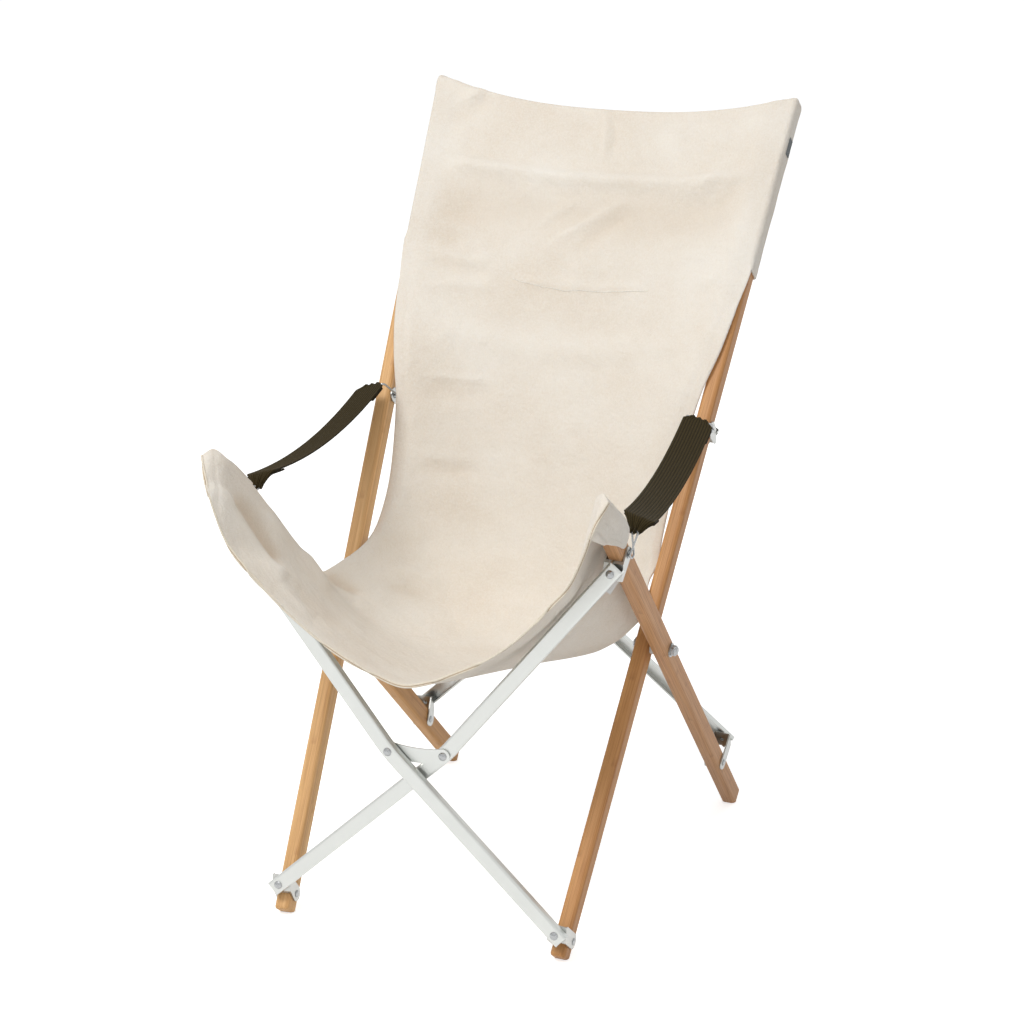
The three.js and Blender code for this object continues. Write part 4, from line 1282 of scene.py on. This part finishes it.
# %% Folds of the seat
# Given as those of the back.
seat_creases = [
    ([(205, 482), (214, 486), (225, 494), (240, 514), (258, 542), (277, 568), (289, 578)], (14, 3), 4.6, 0.1),
    ([(227, 494), (246, 521), (265, 548), (284, 569)], (5, 16), -5.2, 0.2),
    ([(262, 505), (272, 528), (281, 548), (288, 564)], (5, 7), 3.4, 0.3),
    ([(232, 474), (250, 496), (268, 520), (290, 545)], (6, 6), 2.0, 0.3),
    ([(298, 548), (308, 560), (320, 577), (331, 594)], (9, 3.5), 3.8, 0.3),
    ([(324, 572), (338, 583), (348, 589), (364, 596)], (3.5, 5), -3.6, 0.3),
    ([(330, 588), (350, 603), (372, 612)], (6, 6), 1.8, 0.3),
    ([(286, 566), (279, 580), (290, 598), (314, 620)], (6, 4), 1.9, 0.3),
    ([(294, 574), (302, 596), (322, 615), (346, 632)], (6, 9), -2.0, 0.3),
    ([(262, 572), (280, 604), (305, 632), (340, 655)], (9, 9), 1.6, 0.3),
    ([(596, 536), (588, 560), (572, 585), (552, 604)], (5, 5), 2.0, 0.25),
]
print(len(seat_creases), "folds on the seat")

# %% Rows and columns of the seat
seat_columns = 211
seat_middle = seat_columns // 2
seat_t = np.concatenate([np.linspace(joint_row, 15, 140), np.linspace(15, last_row, 70)[1:]])
even = np.linspace(-1, 1, seat_columns)
seat_grid = sling(seat_t, np.sign(even) * (1 - (1 - np.abs(even)) ** 1.8))
seat_faces = grid_faces(len(seat_t), seat_columns)
seat_grid, seat_shift = push(seat_grid, seat_faces, seat_creases)
print("seat", len(seat_t), "x", seat_columns, "points, folds from", round(seat_shift.min() / MM, 1), "to",
      round(seat_shift.max() / MM, 1), "mm")

# %% The seat as a cloth
seat_run = lengths_along(seat_grid[:, seat_middle])
side_run = np.cumsum(np.linalg.norm(np.diff(seat_grid, axis=1), axis=2), axis=1)
side_run = np.concatenate([np.zeros((len(seat_t), 1)), side_run], 1)
side_run -= side_run[:, seat_middle][:, None]
seat_uv = np.stack([side_run, np.broadcast_to(seat_run[:, None], side_run.shape)], -1)
from_side = np.minimum(side_run - side_run[:, :1], side_run[:, -1:] - side_run)
seat_thick = cloth_thick + 0.0012 * smooth((0.011 - from_side) / hem_step)
seat_bulge = np.full(seat_thick.size, bulged)
seat_bulge[:seat_columns] = butted
# Painted shade and light of the seat's folds, full at a depth of 6 mm.
seat_piece = cloth("seat_cover", seat_grid.reshape(-1, 3), seat_faces, seat_uv.reshape(-1, 2), seat_thick.ravel(),
                   canvas, seat_bulge, valleys(seat_shift, 0.006))
print("the seat is", round(seat_run[-1], 3), "m along its middle,", round(lengths_along(seat_grid[:, 0])[-1], 3),
      "m along its sides and", round(lengths_along(seat_grid[-1])[-1], 3), "m across its front")

# %% [markdown]
# ## Pockets over the tips of the legs
#
# The seat hangs from the legs by two pockets that are slipped over their tips. Each is a small patch sewn to the
# hem. It could be sculpted, but its four edges are known: the seam with the seat, the fold along the leg's inner
# face, the mouth round the leg, and the lower edge. A Coons patch fills the space between four edges as evenly as
# a cloth does, and then the leg inside pushes it out to at least its own size.


# %% A patch between four edges
def coons(bottom, top, left, right):
    """Bottom and top run along s, left and right along v.

    The mean way from bottom to top, plus that from left to right, less the plane patch between the four corners.
    """
    s = np.linspace(0, 1, len(bottom))[:, None, None]
    v = np.linspace(0, 1, len(left))[None, :, None]
    rule = bottom[:, None] * (1 - v) + top[:, None] * v + left[None] * (1 - s) + right[None] * s
    corners = ((1 - s) * (1 - v) * bottom[0] + s * (1 - v) * bottom[-1]
               + (1 - s) * v * top[0] + s * v * top[-1])
    return rule - corners


def spaced(points, count):
    """That many points along the smooth curve through the given ones."""
    points = np.array(points, float)
    return catmull(points, np.linspace(0, len(points) - 1, count))


print("the middle of a flat patch:", coons(*(np.array(e, float) for e in (
    [[0, 0, 0], [1, 0, 0]], [[0, 1, 0], [1, 1, 0]], [[0, 0, 0], [0, 1, 0]], [[1, 0, 0], [1, 1, 0]]))).mean((0, 1)))

# %% The pocket's edges
# Places on a leg in millimetres: outward of its axis, up from it, and from its tip.
pocket_s, pocket_v = 40, 56
tip_rows = 47
pocket_mouth = [(-10, 19.5, 72), (-6, 21.5, 72), (3, 21, 71), (10, 17.5, 69), (11.4, 12, 70), (11.4, 6, 72),
                (11.2, 0, 73), (10.6, -4, 70)]


def pocket_edges(side):
    """Fold, lower edge, seam and mouth. The seam follows the seat's side over the tip and then its hem down."""
    over_tip = seat_grid[-tip_rows:, -1 if side == 1 else 0]
    hem = seat_grid[-1, seat_middle + 1:] if side == 1 else seat_grid[-1, seat_middle - 1::-1]
    down = to_leg(hem[::-1], side) / MM
    down = down[down[:, 1] > -33]
    seam = spaced(evenly(np.concatenate([to_leg(over_tip, side) / MM, down[1:]]), 3.0), pocket_v)
    fold = spaced([seam[0], (-10, 17.5, 20), (-10, 19.5, 50), (-10, 19.5, 72)], pocket_s)
    lower = spaced([seam[-1], (5.5, -28, 11), (10, -19, 30), (11.4, -10.5, 50), (10.6, -4, 70)], pocket_s)
    return fold, lower, seam, spaced(pocket_mouth, pocket_v)


print("the seam of a pocket is", round(lengths_along(pocket_edges(1)[2])[-1]), "mm long")

# %% The pocket
# Its folds are given as those of the back. Only the right pocket's front is seen.
pocket_creases = [
    ([(609, 509), (616, 520), (619, 534)], (4, 5), 1.6, 0.3),
    ([(593, 533), (599, 540), (606, 546)], (2.5, 3), 2.2, 0.25),
    ([(596, 530), (604, 539), (612, 545)], (3, 3), -1.4, 0.3),
    ([(622, 511), (627, 522), (624, 536)], (4, 4), 1.0, 0.3),
]
pocket_deep, pocket_wide = 0.09, 0.085


def pocket(side):
    """A Coons patch that bellies out by 2.2 mm times a sine each way, and that the leg holds 1.3 mm off its faces."""
    grid = coons(*pocket_edges(side))
    number = np.arange(pocket_v)[None]
    belly = np.sin(np.linspace(0, math.pi, pocket_s))[:, None] * np.sin(np.linspace(0, math.pi, pocket_v))[None]
    grid[..., 0] += 2.2 * smooth((number - 14) / 12.0) * belly
    need_out, need_up = post_thick / 2 / MM + 1.3, post_deep / 2 / MM + 1.3
    over_leg = grid[..., 2] > -1.5
    beside = over_leg & (grid[..., 1] < 12.5) & (grid[..., 1] > -13.5) & (number > 18)
    grid[..., 0] = np.where(beside, np.maximum(grid[..., 0], need_out), grid[..., 0])
    above = over_leg & (np.abs(grid[..., 0]) < need_out) & (number <= 24)
    grid[..., 1] = np.where(above, np.maximum(grid[..., 1], need_up), grid[..., 1])
    points = on_leg(grid[..., 2] * MM, grid[..., 0] * MM, grid[..., 1] * MM, side)
    faces = grid_faces(pocket_s, pocket_v)
    if side == 1:
        points, _ = push(points, faces, pocket_creases)
    size = (pocket_s, pocket_v)
    run_s = np.broadcast_to(np.linspace(0, pocket_deep, pocket_s)[:, None], size)
    run_v = np.broadcast_to(np.linspace(0, pocket_wide, pocket_v)[None], size)
    hem = np.maximum(smooth((0.011 - pocket_deep + run_s) / 0.0015), smooth((0.011 - pocket_wide + run_v) / 0.0015))
    name = "right_pocket" if side == 1 else "left_pocket"
    return cloth(name, points.reshape(-1, 3), faces if side == 1 else faces[:, ::-1],
                 np.stack([run_s, run_v], -1).reshape(-1, 2), (cloth_thick + 0.0012 * hem).ravel(), canvas)


pockets = {side: pocket(side) for side in (1, -1)}

# %% [markdown]
# ## Front hem
#
# Along the front the seat ends in two rolled edges, one on the other, with a seam between them. A thicker edge on
# the panel would look like a slab. A roll is a tube of cloth, so a round section is carried along the hem's line:
# one roll a little above it, one a little below, and a thin thread in the groove between them, on the outer side.

# %% The hem's line and its directions
hem_count = 241
hem_shares = np.linspace(-1, 1, hem_count)
hem_line = evenly(sling(np.array([float(last_row)]), hem_shares)[0], 0.003)
hem_tangent = np.gradient(hem_line, axis=0)
hem_tangent /= np.linalg.norm(hem_tangent, axis=1, keepdims=True)
row_behind = sling(np.array([last_row - 0.25]), hem_shares)[0]
at = np.linspace(0, 1, len(hem_line))
row_behind = np.stack([np.interp(at, np.linspace(0, 1, hem_count), row_behind[:, k]) for k in range(3)], -1)
hem_in = row_behind - hem_line
hem_in -= hem_tangent * np.sum(hem_in * hem_tangent, 1)[:, None]
hem_in /= np.linalg.norm(hem_in, axis=1, keepdims=True)
hem_up = np.cross(hem_tangent, hem_in)
hem_up *= np.sign(hem_up[len(hem_up) // 2, 2])
print("the hem is", round(lengths_along(hem_line)[-1], 3), "m long")

# %% Two rolls and the thread
roll_radius = 0.0012
hem_top = hem_line + hem_up * 0.0011 + hem_in * 0.0003
hem_under = hem_line - hem_up * 0.0011 - hem_in * 0.0001
front_roll = tubes("front_roll", [hem_top, hem_under], roll_radius, canvas_hem, 12)
front_seam = tubes("front_seam", [hem_line - hem_in * 0.0006], 0.0004, brown_thread, 8)

# %% [markdown]
# ## Sewing
#
# A short curved line of white stitches crosses the back, where an inner patch is sewn on. Stitches could be painted,
# but thread stands on the cloth and shows from the side, so each is a short tube that dips in at both ends. The
# line's place is known from the picture: the panel's points are turned into pixels, and the nearest one is taken
# for each step of the line. A moving mean takes out the small jumps from one point to the next.

# %% Stitches on the back
sewn_line = np.array([(512, 279), (530, 284), (560, 290), (600, 292), (650, 291)], float)
above_line = 150
back_normals = grid_normals(back_grid)
facing = np.sign(np.sum(back_normals[20, 60] * view_back))
back_pixels = pixels(back_grid)[:above_line]
nearest = [int(np.argmin(np.sum((back_pixels - px) ** 2, -1))) for px in evenly(sewn_line, 1.0)]
row, column = np.divmod(nearest, columns)
patch_line = back_grid[row, column] + back_normals[row, column] * facing * 0.0010
mean_of = 13
padded = np.pad(patch_line, ((mean_of // 2, mean_of // 2), (0, 0)), mode="edge")
patch_line = np.stack([np.convolve(padded[:, k], np.ones(mean_of) / mean_of, "valid") for k in range(3)], -1)
threads = stitches(patch_line, back_normals[60, 60] * facing * 0.0003)
back_stitches = tubes("back_stitches", threads, 0.00042, white_thread, 6)
print(len(threads), "stitches")

# %% [markdown]
# ## Care tag
#
# A bare white tape tag is caught in the seat near the right leg. It is a strip between two short edges, cut
# askew, and it has a slight bow, so that it doesn't look like a card.


# %% The tag
def care_tag():
    """A strip between two short edges: straight along, and bowed outward by a sine of 1.2 mm."""
    count_s, count_v = 13, 9
    s, v = np.meshgrid(np.linspace(0, 1, count_s), np.linspace(0, 1, count_v), indexing="ij")
    low, high = in_row(np.array([[[6.0, -180.2, 139.0], [6.0, -214.8, 129.1]],
                                 [[6.0, -159.9, 129.4], [6.0, -194.9, 119.5]]]) * MM)
    low_edge = low[0] * (1 - v[..., None]) + low[1] * v[..., None]
    high_edge = high[0] * (1 - v[..., None]) + high[1] * v[..., None]
    grid = low_edge * (1 - s[..., None]) + high_edge * s[..., None]
    grid[..., 0] += 0.0012 * np.sin(math.pi * s)
    uv = np.stack([s * 0.02, v * 0.015], -1).reshape(-1, 2)
    return cloth("care_tag", grid.reshape(-1, 3), grid_faces(count_s, count_v), uv, 0.0005, white_tape)


tag_piece = care_tag()

# %% [markdown]
# ## Arm straps
#
# Each arm is a band of thick webbing that sags between the long post and the short leg. At both ends it turns
# round a wire and comes back under itself. At the front it is gathered to a third of its width. The whole band is
# one surface: the path gives its length, a width that changes along it gives the gathers, and the ribs are a sine
# across it, the same on both faces. Eleven ribs need about seven points each to look round.

# %% Where the strap runs
# Places on a side frame: outward, back and up of the pivot, in metres.
strap_front = np.array([0.0155, -0.1440, 0.1972])
strap_rear = np.array([-0.0075, 0.1215, 0.2452])
strap_wire = np.array([0.0155, -0.1560, 0.1850])
strap_sag = 0.016
strap_tilt = math.radians(12)
half_band, rib_high, pleat_high, pleats = 0.0006, 0.0007, 0.0022, 6


def bent(start, pull, end, t):
    """A quadratic curve from start to end that leans toward the pull, where t runs from 0 to 1."""
    return start * (1 - t) ** 2 + 2 * pull * t * (1 - t) + end * t ** 2


def strap_curve():
    """A shallow hanging curve: a quadratic whose pull is twice the sag below the middle of the chord."""
    middle = (strap_front + strap_rear) / 2 - np.array([0, 0, 2 * strap_sag])
    return bent(strap_front, middle, strap_rear, np.linspace(0, 1, 121)[:, None])


print("the strap spans", round(lengths_along(strap_curve())[-1], 3), "m and sags", strap_sag / MM, "mm")

# %% The band's whole line, and its width along it
gathered, tucked, turned_back = 0.34, 0.985, 0.62


def strap_line():
    """Front: under the band, round the wire, and up the gather. Then the sag, a half turn, and back under it.

    The width is one where the band is free, and falls to the gathered share at the wire as a power of the way.
    """
    path = strap_curve()
    pull = strap_front + (path[0] - path[3]) * 0.9
    lead = bent(strap_front, pull, strap_wire, np.linspace(0, 1, 14)[1:, None])[::-1]
    angle = np.linspace(0, math.pi, 7)[1:, None]
    under = np.array([0, 0.0006, -0.0030])
    front_turn = strap_wire + np.sin(angle) * [0, -0.0022, 0] + (1 - np.cos(angle)) * [0, 0, -0.0015]
    under_front = np.concatenate([lead + under, path[1:10] + under])[::-1]
    tail = path[-1] - path[-2]
    tail /= np.linalg.norm(tail)
    rear_turn = path[-1] + tail * 0.002 * np.sin(angle) + (1 - np.cos(angle)) * [0, 0, -0.0017]
    rear_under = path[-2:-16:-1] + np.array([0, 0, -0.0034])
    line = np.concatenate([under_front, front_turn[::-1], lead, path, rear_turn, rear_under])

    spread = np.linspace(0, 1, len(lead)) ** 0.8
    from_rear = np.concatenate([np.linalg.norm(path - path[-1], axis=1), np.zeros(len(rear_turn)),
                                np.linalg.norm(path[-2:-16:-1] - path[-1], axis=1)])
    wide = np.concatenate([
        np.full(9, tucked), (gathered + (tucked - gathered) * spread)[::-1],
        np.full(len(front_turn), gathered), gathered + (1 - gathered) * spread,
        np.minimum(1, turned_back + from_rear / 0.0075 * (1 - turned_back))])
    return line, wide


band_line, band_wide = strap_line()
print(len(band_line), "places along the band, its width from", round(band_wide.min() * strap_wide / MM, 1), "to",
      round(band_wide.max() * strap_wide / MM, 1), "mm")


# %% The ribbed band
def arm_strap(side, columns=73):
    """Two faces, each half a band off the line plus the ribs: 1 less the cube of the size of a sine across it.

    Where the band is gathered, a cosine of three waves across folds it by up to 2.2 mm.
    """
    n = len(band_line)
    u = np.linspace(-0.5, 0.5, columns)
    tangent = np.gradient(band_line, axis=0)
    tangent /= np.linalg.norm(tangent, axis=1, keepdims=True)
    across = np.array([math.cos(strap_tilt), 0, -math.sin(strap_tilt)])
    up = np.cross(across, tangent)
    up /= np.linalg.norm(up, axis=1, keepdims=True)
    up *= np.sign(up[n // 2, 2])
    rib = 1 - np.abs(np.sin(u * math.pi * strap_ribs)) ** 3
    pleat = pleat_high * (1 - band_wide)[:, None] * np.cos(u * math.pi * pleats)
    spread = u[None, :, None] * strap_wide * band_wide[:, None, None] * across
    top, bottom = (band_line[:, None] + spread
                   + up[:, None] * (way * (half_band + rib_high * rib) + pleat)[..., None] for way in (1, -1))
    run = lengths_along(band_line)
    uv = np.stack([np.broadcast_to(u * strap_wide, (n, columns)), np.broadcast_to(run[:, None], (n, columns))], -1)
    faces = grid_faces(n, columns)
    ids = np.arange(n * columns).reshape(n, columns)
    loop = np.concatenate([ids[0], ids[1:, -1], ids[-1, -2::-1], ids[-2:0:-1, 0]])
    after = np.roll(loop, -1)
    rim = np.stack([after, loop, loop + n * columns, after + n * columns], -1)
    quads = np.concatenate([faces, faces[:, ::-1] + n * columns, rim])
    name = "right_webbing" if side == 1 else "left_webbing"
    verts = in_row(np.concatenate([top.reshape(-1, 3), bottom.reshape(-1, 3)]), side)
    return piece(name, verts, quads if side == 1 else quads[:, ::-1], webbing, np.tile(uv.reshape(-1, 2), (2, 1)))


straps = {side: arm_strap(side) for side in (1, -1)}
print("each band is", round(lengths_along(band_line)[-1], 3), "m long with its ends")

# %% [markdown]
# ## Hooks and rings
#
# The straps end on bent steel wire: a hook round the leg's pin in front, and a half ring on the post's pin behind.
# A curve object with a bevel could make them. Here a simple path of a few corners is enough, but a wire bends on a
# radius and never in a point, so a small curve replaces each corner before the round section is carried along.


# %% Bent wire
def wire(name, points, side, radius):
    """Straight runs joined by quadratic curves that start 5 mm before each corner, or less where runs are short."""
    points = [np.array(p, float) for p in points]
    t = np.linspace(0, 1, 7)[:, None]
    path = [points[0][None]]
    for a, b, c in zip(points[:-2], points[1:-1], points[2:]):
        to_a, to_c = np.linalg.norm(a - b), np.linalg.norm(c - b)
        r = min(0.005, 0.45 * to_a, 0.45 * to_c)
        path.append(bent(b + (a - b) / to_a * r, b, b + (c - b) / to_c * r, t))
    path.append(points[-1][None])
    return tubes(name, [in_row(evenly(np.concatenate(path), 0.0012), side)], radius, steel, 12)


past_corner = bent(np.array([5.0, 0.0]), np.zeros(2), np.array([0.0, 5.0]), 0.5)
print("a wire passes a square corner", round(float(np.linalg.norm(past_corner)), 1), "mm inside it")

# %% Hooks and rings on both sides
head_out = post_thick / 2 + 0.0045
pin_up = leg_above - 0.09387
leg_pin = np.array([plane_offset, -pin_up * math.sin(leg_lean), pin_up * math.cos(leg_lean)])
back_pin = np.array([-plane_offset, 0.1544, 0.22635])
hook_x, ring_x, ring_in_x = leg_pin[0] + head_out, back_pin[0] + head_out, back_pin[0] - head_out
hook_top = strap_wire + np.array([0, -0.0008, -0.0016])
hook_eye = (hook_x + 0.0004, leg_pin[1] - 0.0045, leg_pin[2] + 0.001)
hook_points = [
    hook_eye, hook_top + (0.0052, -0.0015, 0.001), hook_top + (-0.004, 0.0015, 0.0),
    (hook_x + 0.0024, leg_pin[1] + 0.0045, leg_pin[2] - 0.001),
    (hook_x + 0.0014, leg_pin[1] - 0.0005, leg_pin[2] - 0.0042), hook_eye]
rear = strap_curve()[-1]
ring_points = [
    (ring_x + 0.0006, back_pin[1], back_pin[2]), (rear[0] + 0.0165, rear[1] + 0.0006, rear[2] - 0.0052),
    (rear[0] - 0.0165, rear[1] + 0.0006, rear[2] + 0.0018), (ring_in_x - 0.0006, back_pin[1], back_pin[2])]
fittings = {}
for side, word in both_sides:
    fittings[f"{word}_hook"] = wire(f"{word}_hook_wire", hook_points, side, 0.0011)
    fittings[f"{word}_ring"] = wire(f"{word}_ring_wire", ring_points, side, 0.0013)

# %% [markdown]
# ## Materials of the solids that stay
#
# Posts, legs, bars, brackets, rivets and bolts are rigid, and their solids already have the real shapes, so they
# only get materials. Bamboo differs from board to board, and one post is paler than the other, partly as its own
# colour and partly as painted light: the left post and leg get paler tones that paint in the light falling on them,
# and the right ones darker tones that paint in shade. So each post and leg gets its own pair of tones and its own
# directions for the strips. The rest goes by the ending of a solid's name.

# %% Bamboo for posts and legs
# Left pieces carry paler tones with painted light, right pieces darker tones with painted shade, besides the boards'
# own differences.
bamboo_tones_with_painted_light = {
    "left_long_post": ((212, 164, 108), (240, 198, 142)), "right_long_post": ((180, 126, 76), (208, 155, 99)),
    "left_short_leg": ((190, 138, 84), (220, 170, 110)), "right_short_leg": ((176, 125, 80), (206, 156, 108))}


def dress(node, look):
    """Puts a material on a solid."""
    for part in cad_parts[node].material_slots:
        part.material = look


for side, word in both_sides:
    thin = Vector((math.cos(splay) * side, 0, -math.sin(splay)))
    for node, lean in ((f"{word}_long_post", post_lean), (f"{word}_short_leg", -leg_lean)):
        up = in_row(np.array([0, math.sin(lean), math.cos(lean)]), side) - in_row(np.zeros(3), side)
        deep = np.cross(up, np.array(thin))
        dress(node, bamboo_material(f"bamboo_{node}", tuple(up), tuple(deep), tuple(thin), *bamboo_tones_with_painted_light[node]))

# %% Metal, plastic and cloth for the rest
looks = {
    "inner_bar": aluminium, "outer_bar": aluminium, "link": aluminium, "bracket": pressed, "pin": steel,
    "rivet": steel, "bolt": steel, "nut": steel, "spacer": white_plastic, "hook": steel, "ring": steel,
    "arm_strap": webbing, "side_tag": grey_tape, "sleeve": canvas, "pocket": canvas,
    "canvas_back": canvas, "canvas_seat": canvas}
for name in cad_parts:
    for ending, look in looks.items():
        if name.endswith(ending):
            dress(name, look)
print(sum(name.endswith(tuple(looks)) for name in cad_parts), "solids dressed by the ending of their names")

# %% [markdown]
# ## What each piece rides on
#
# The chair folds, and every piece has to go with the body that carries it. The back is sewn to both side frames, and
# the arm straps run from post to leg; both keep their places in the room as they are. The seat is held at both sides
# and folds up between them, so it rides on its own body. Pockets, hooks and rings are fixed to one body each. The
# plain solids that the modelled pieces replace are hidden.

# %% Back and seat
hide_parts("canvas_back", "right_back_sleeve", "left_back_sleeve")
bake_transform(back_piece)
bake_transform(back_stitches)
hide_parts("canvas_seat")
for thing in (seat_piece, front_roll, front_seam):
    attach(thing, "seat_cloth")
    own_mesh(thing)

# %% Pockets, straps, fittings and tag
for side, word in both_sides:
    cover = pockets[side]
    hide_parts(f"{word}_front_pocket")
    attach(cover, f"{word}_leg")
    band = straps[side]
    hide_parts(f"{word}_arm_strap")
    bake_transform(band)
    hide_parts(f"{word}_strap_hook")
    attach(fittings[f"{word}_hook"], f"{word}_leg")
    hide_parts(f"{word}_strap_ring")
    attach(fittings[f"{word}_ring"], f"{word}_frame")
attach(tag_piece, "right_leg")

# %% [markdown]
# ## The sheets of cloth, as they were cut
#
# Whoever sews this chair needs the flat sizes. One side of a closed cloth is half of its whole surface, and a
# straight band's length is that area over its width. The strap's ribs count in that area, so its length comes out
# a little longer than its path. The sizes of the back, the seat and the pockets are estimates, in round numbers, of
# the canvas that each is cut from. The cells above print what their surfaces measure.


# %% Flat sizes
def half_area(thing):
    """Half of a closed cloth's whole surface, which is the area of one side of it."""
    areas = np.zeros(len(thing.data.polygons))
    thing.data.polygons.foreach_get("area", areas)
    return float(areas.sum()) / 2


tag_wide = 0.0224
on_wires = {word: [fittings[f"{word}_hook"], fittings[f"{word}_ring"]] for _, word in both_sides}
for thing, flat, wide, held, rests, sewn in (
        (back_piece, (0.58, 0.80), None, "hung", ["right_long_post", "left_long_post"], [back_stitches]),
        (seat_piece, (0.70, 0.36), None, "hung", ["right_short_leg", "left_short_leg"], [front_roll, front_seam]),
        (pockets[1], (0.085, 0.095), None, "stretched", ["right_short_leg"], []),
        (pockets[-1], (0.085, 0.095), None, "stretched", ["left_short_leg"], []),
        (straps[1], None, strap_wide, "hung", on_wires["right"], []),
        (straps[-1], None, strap_wide, "hung", on_wires["left"], []),
        (tag_piece, None, tag_wide, "hung", [seat_piece], [])):
    area = half_area(thing)
    flat = flat or (wide, area / wide)
    print(thing.name, "one side", round(area, 4), "m2, cut", [round(v, 3) for v in flat])

# %% [markdown]
# ## End
#
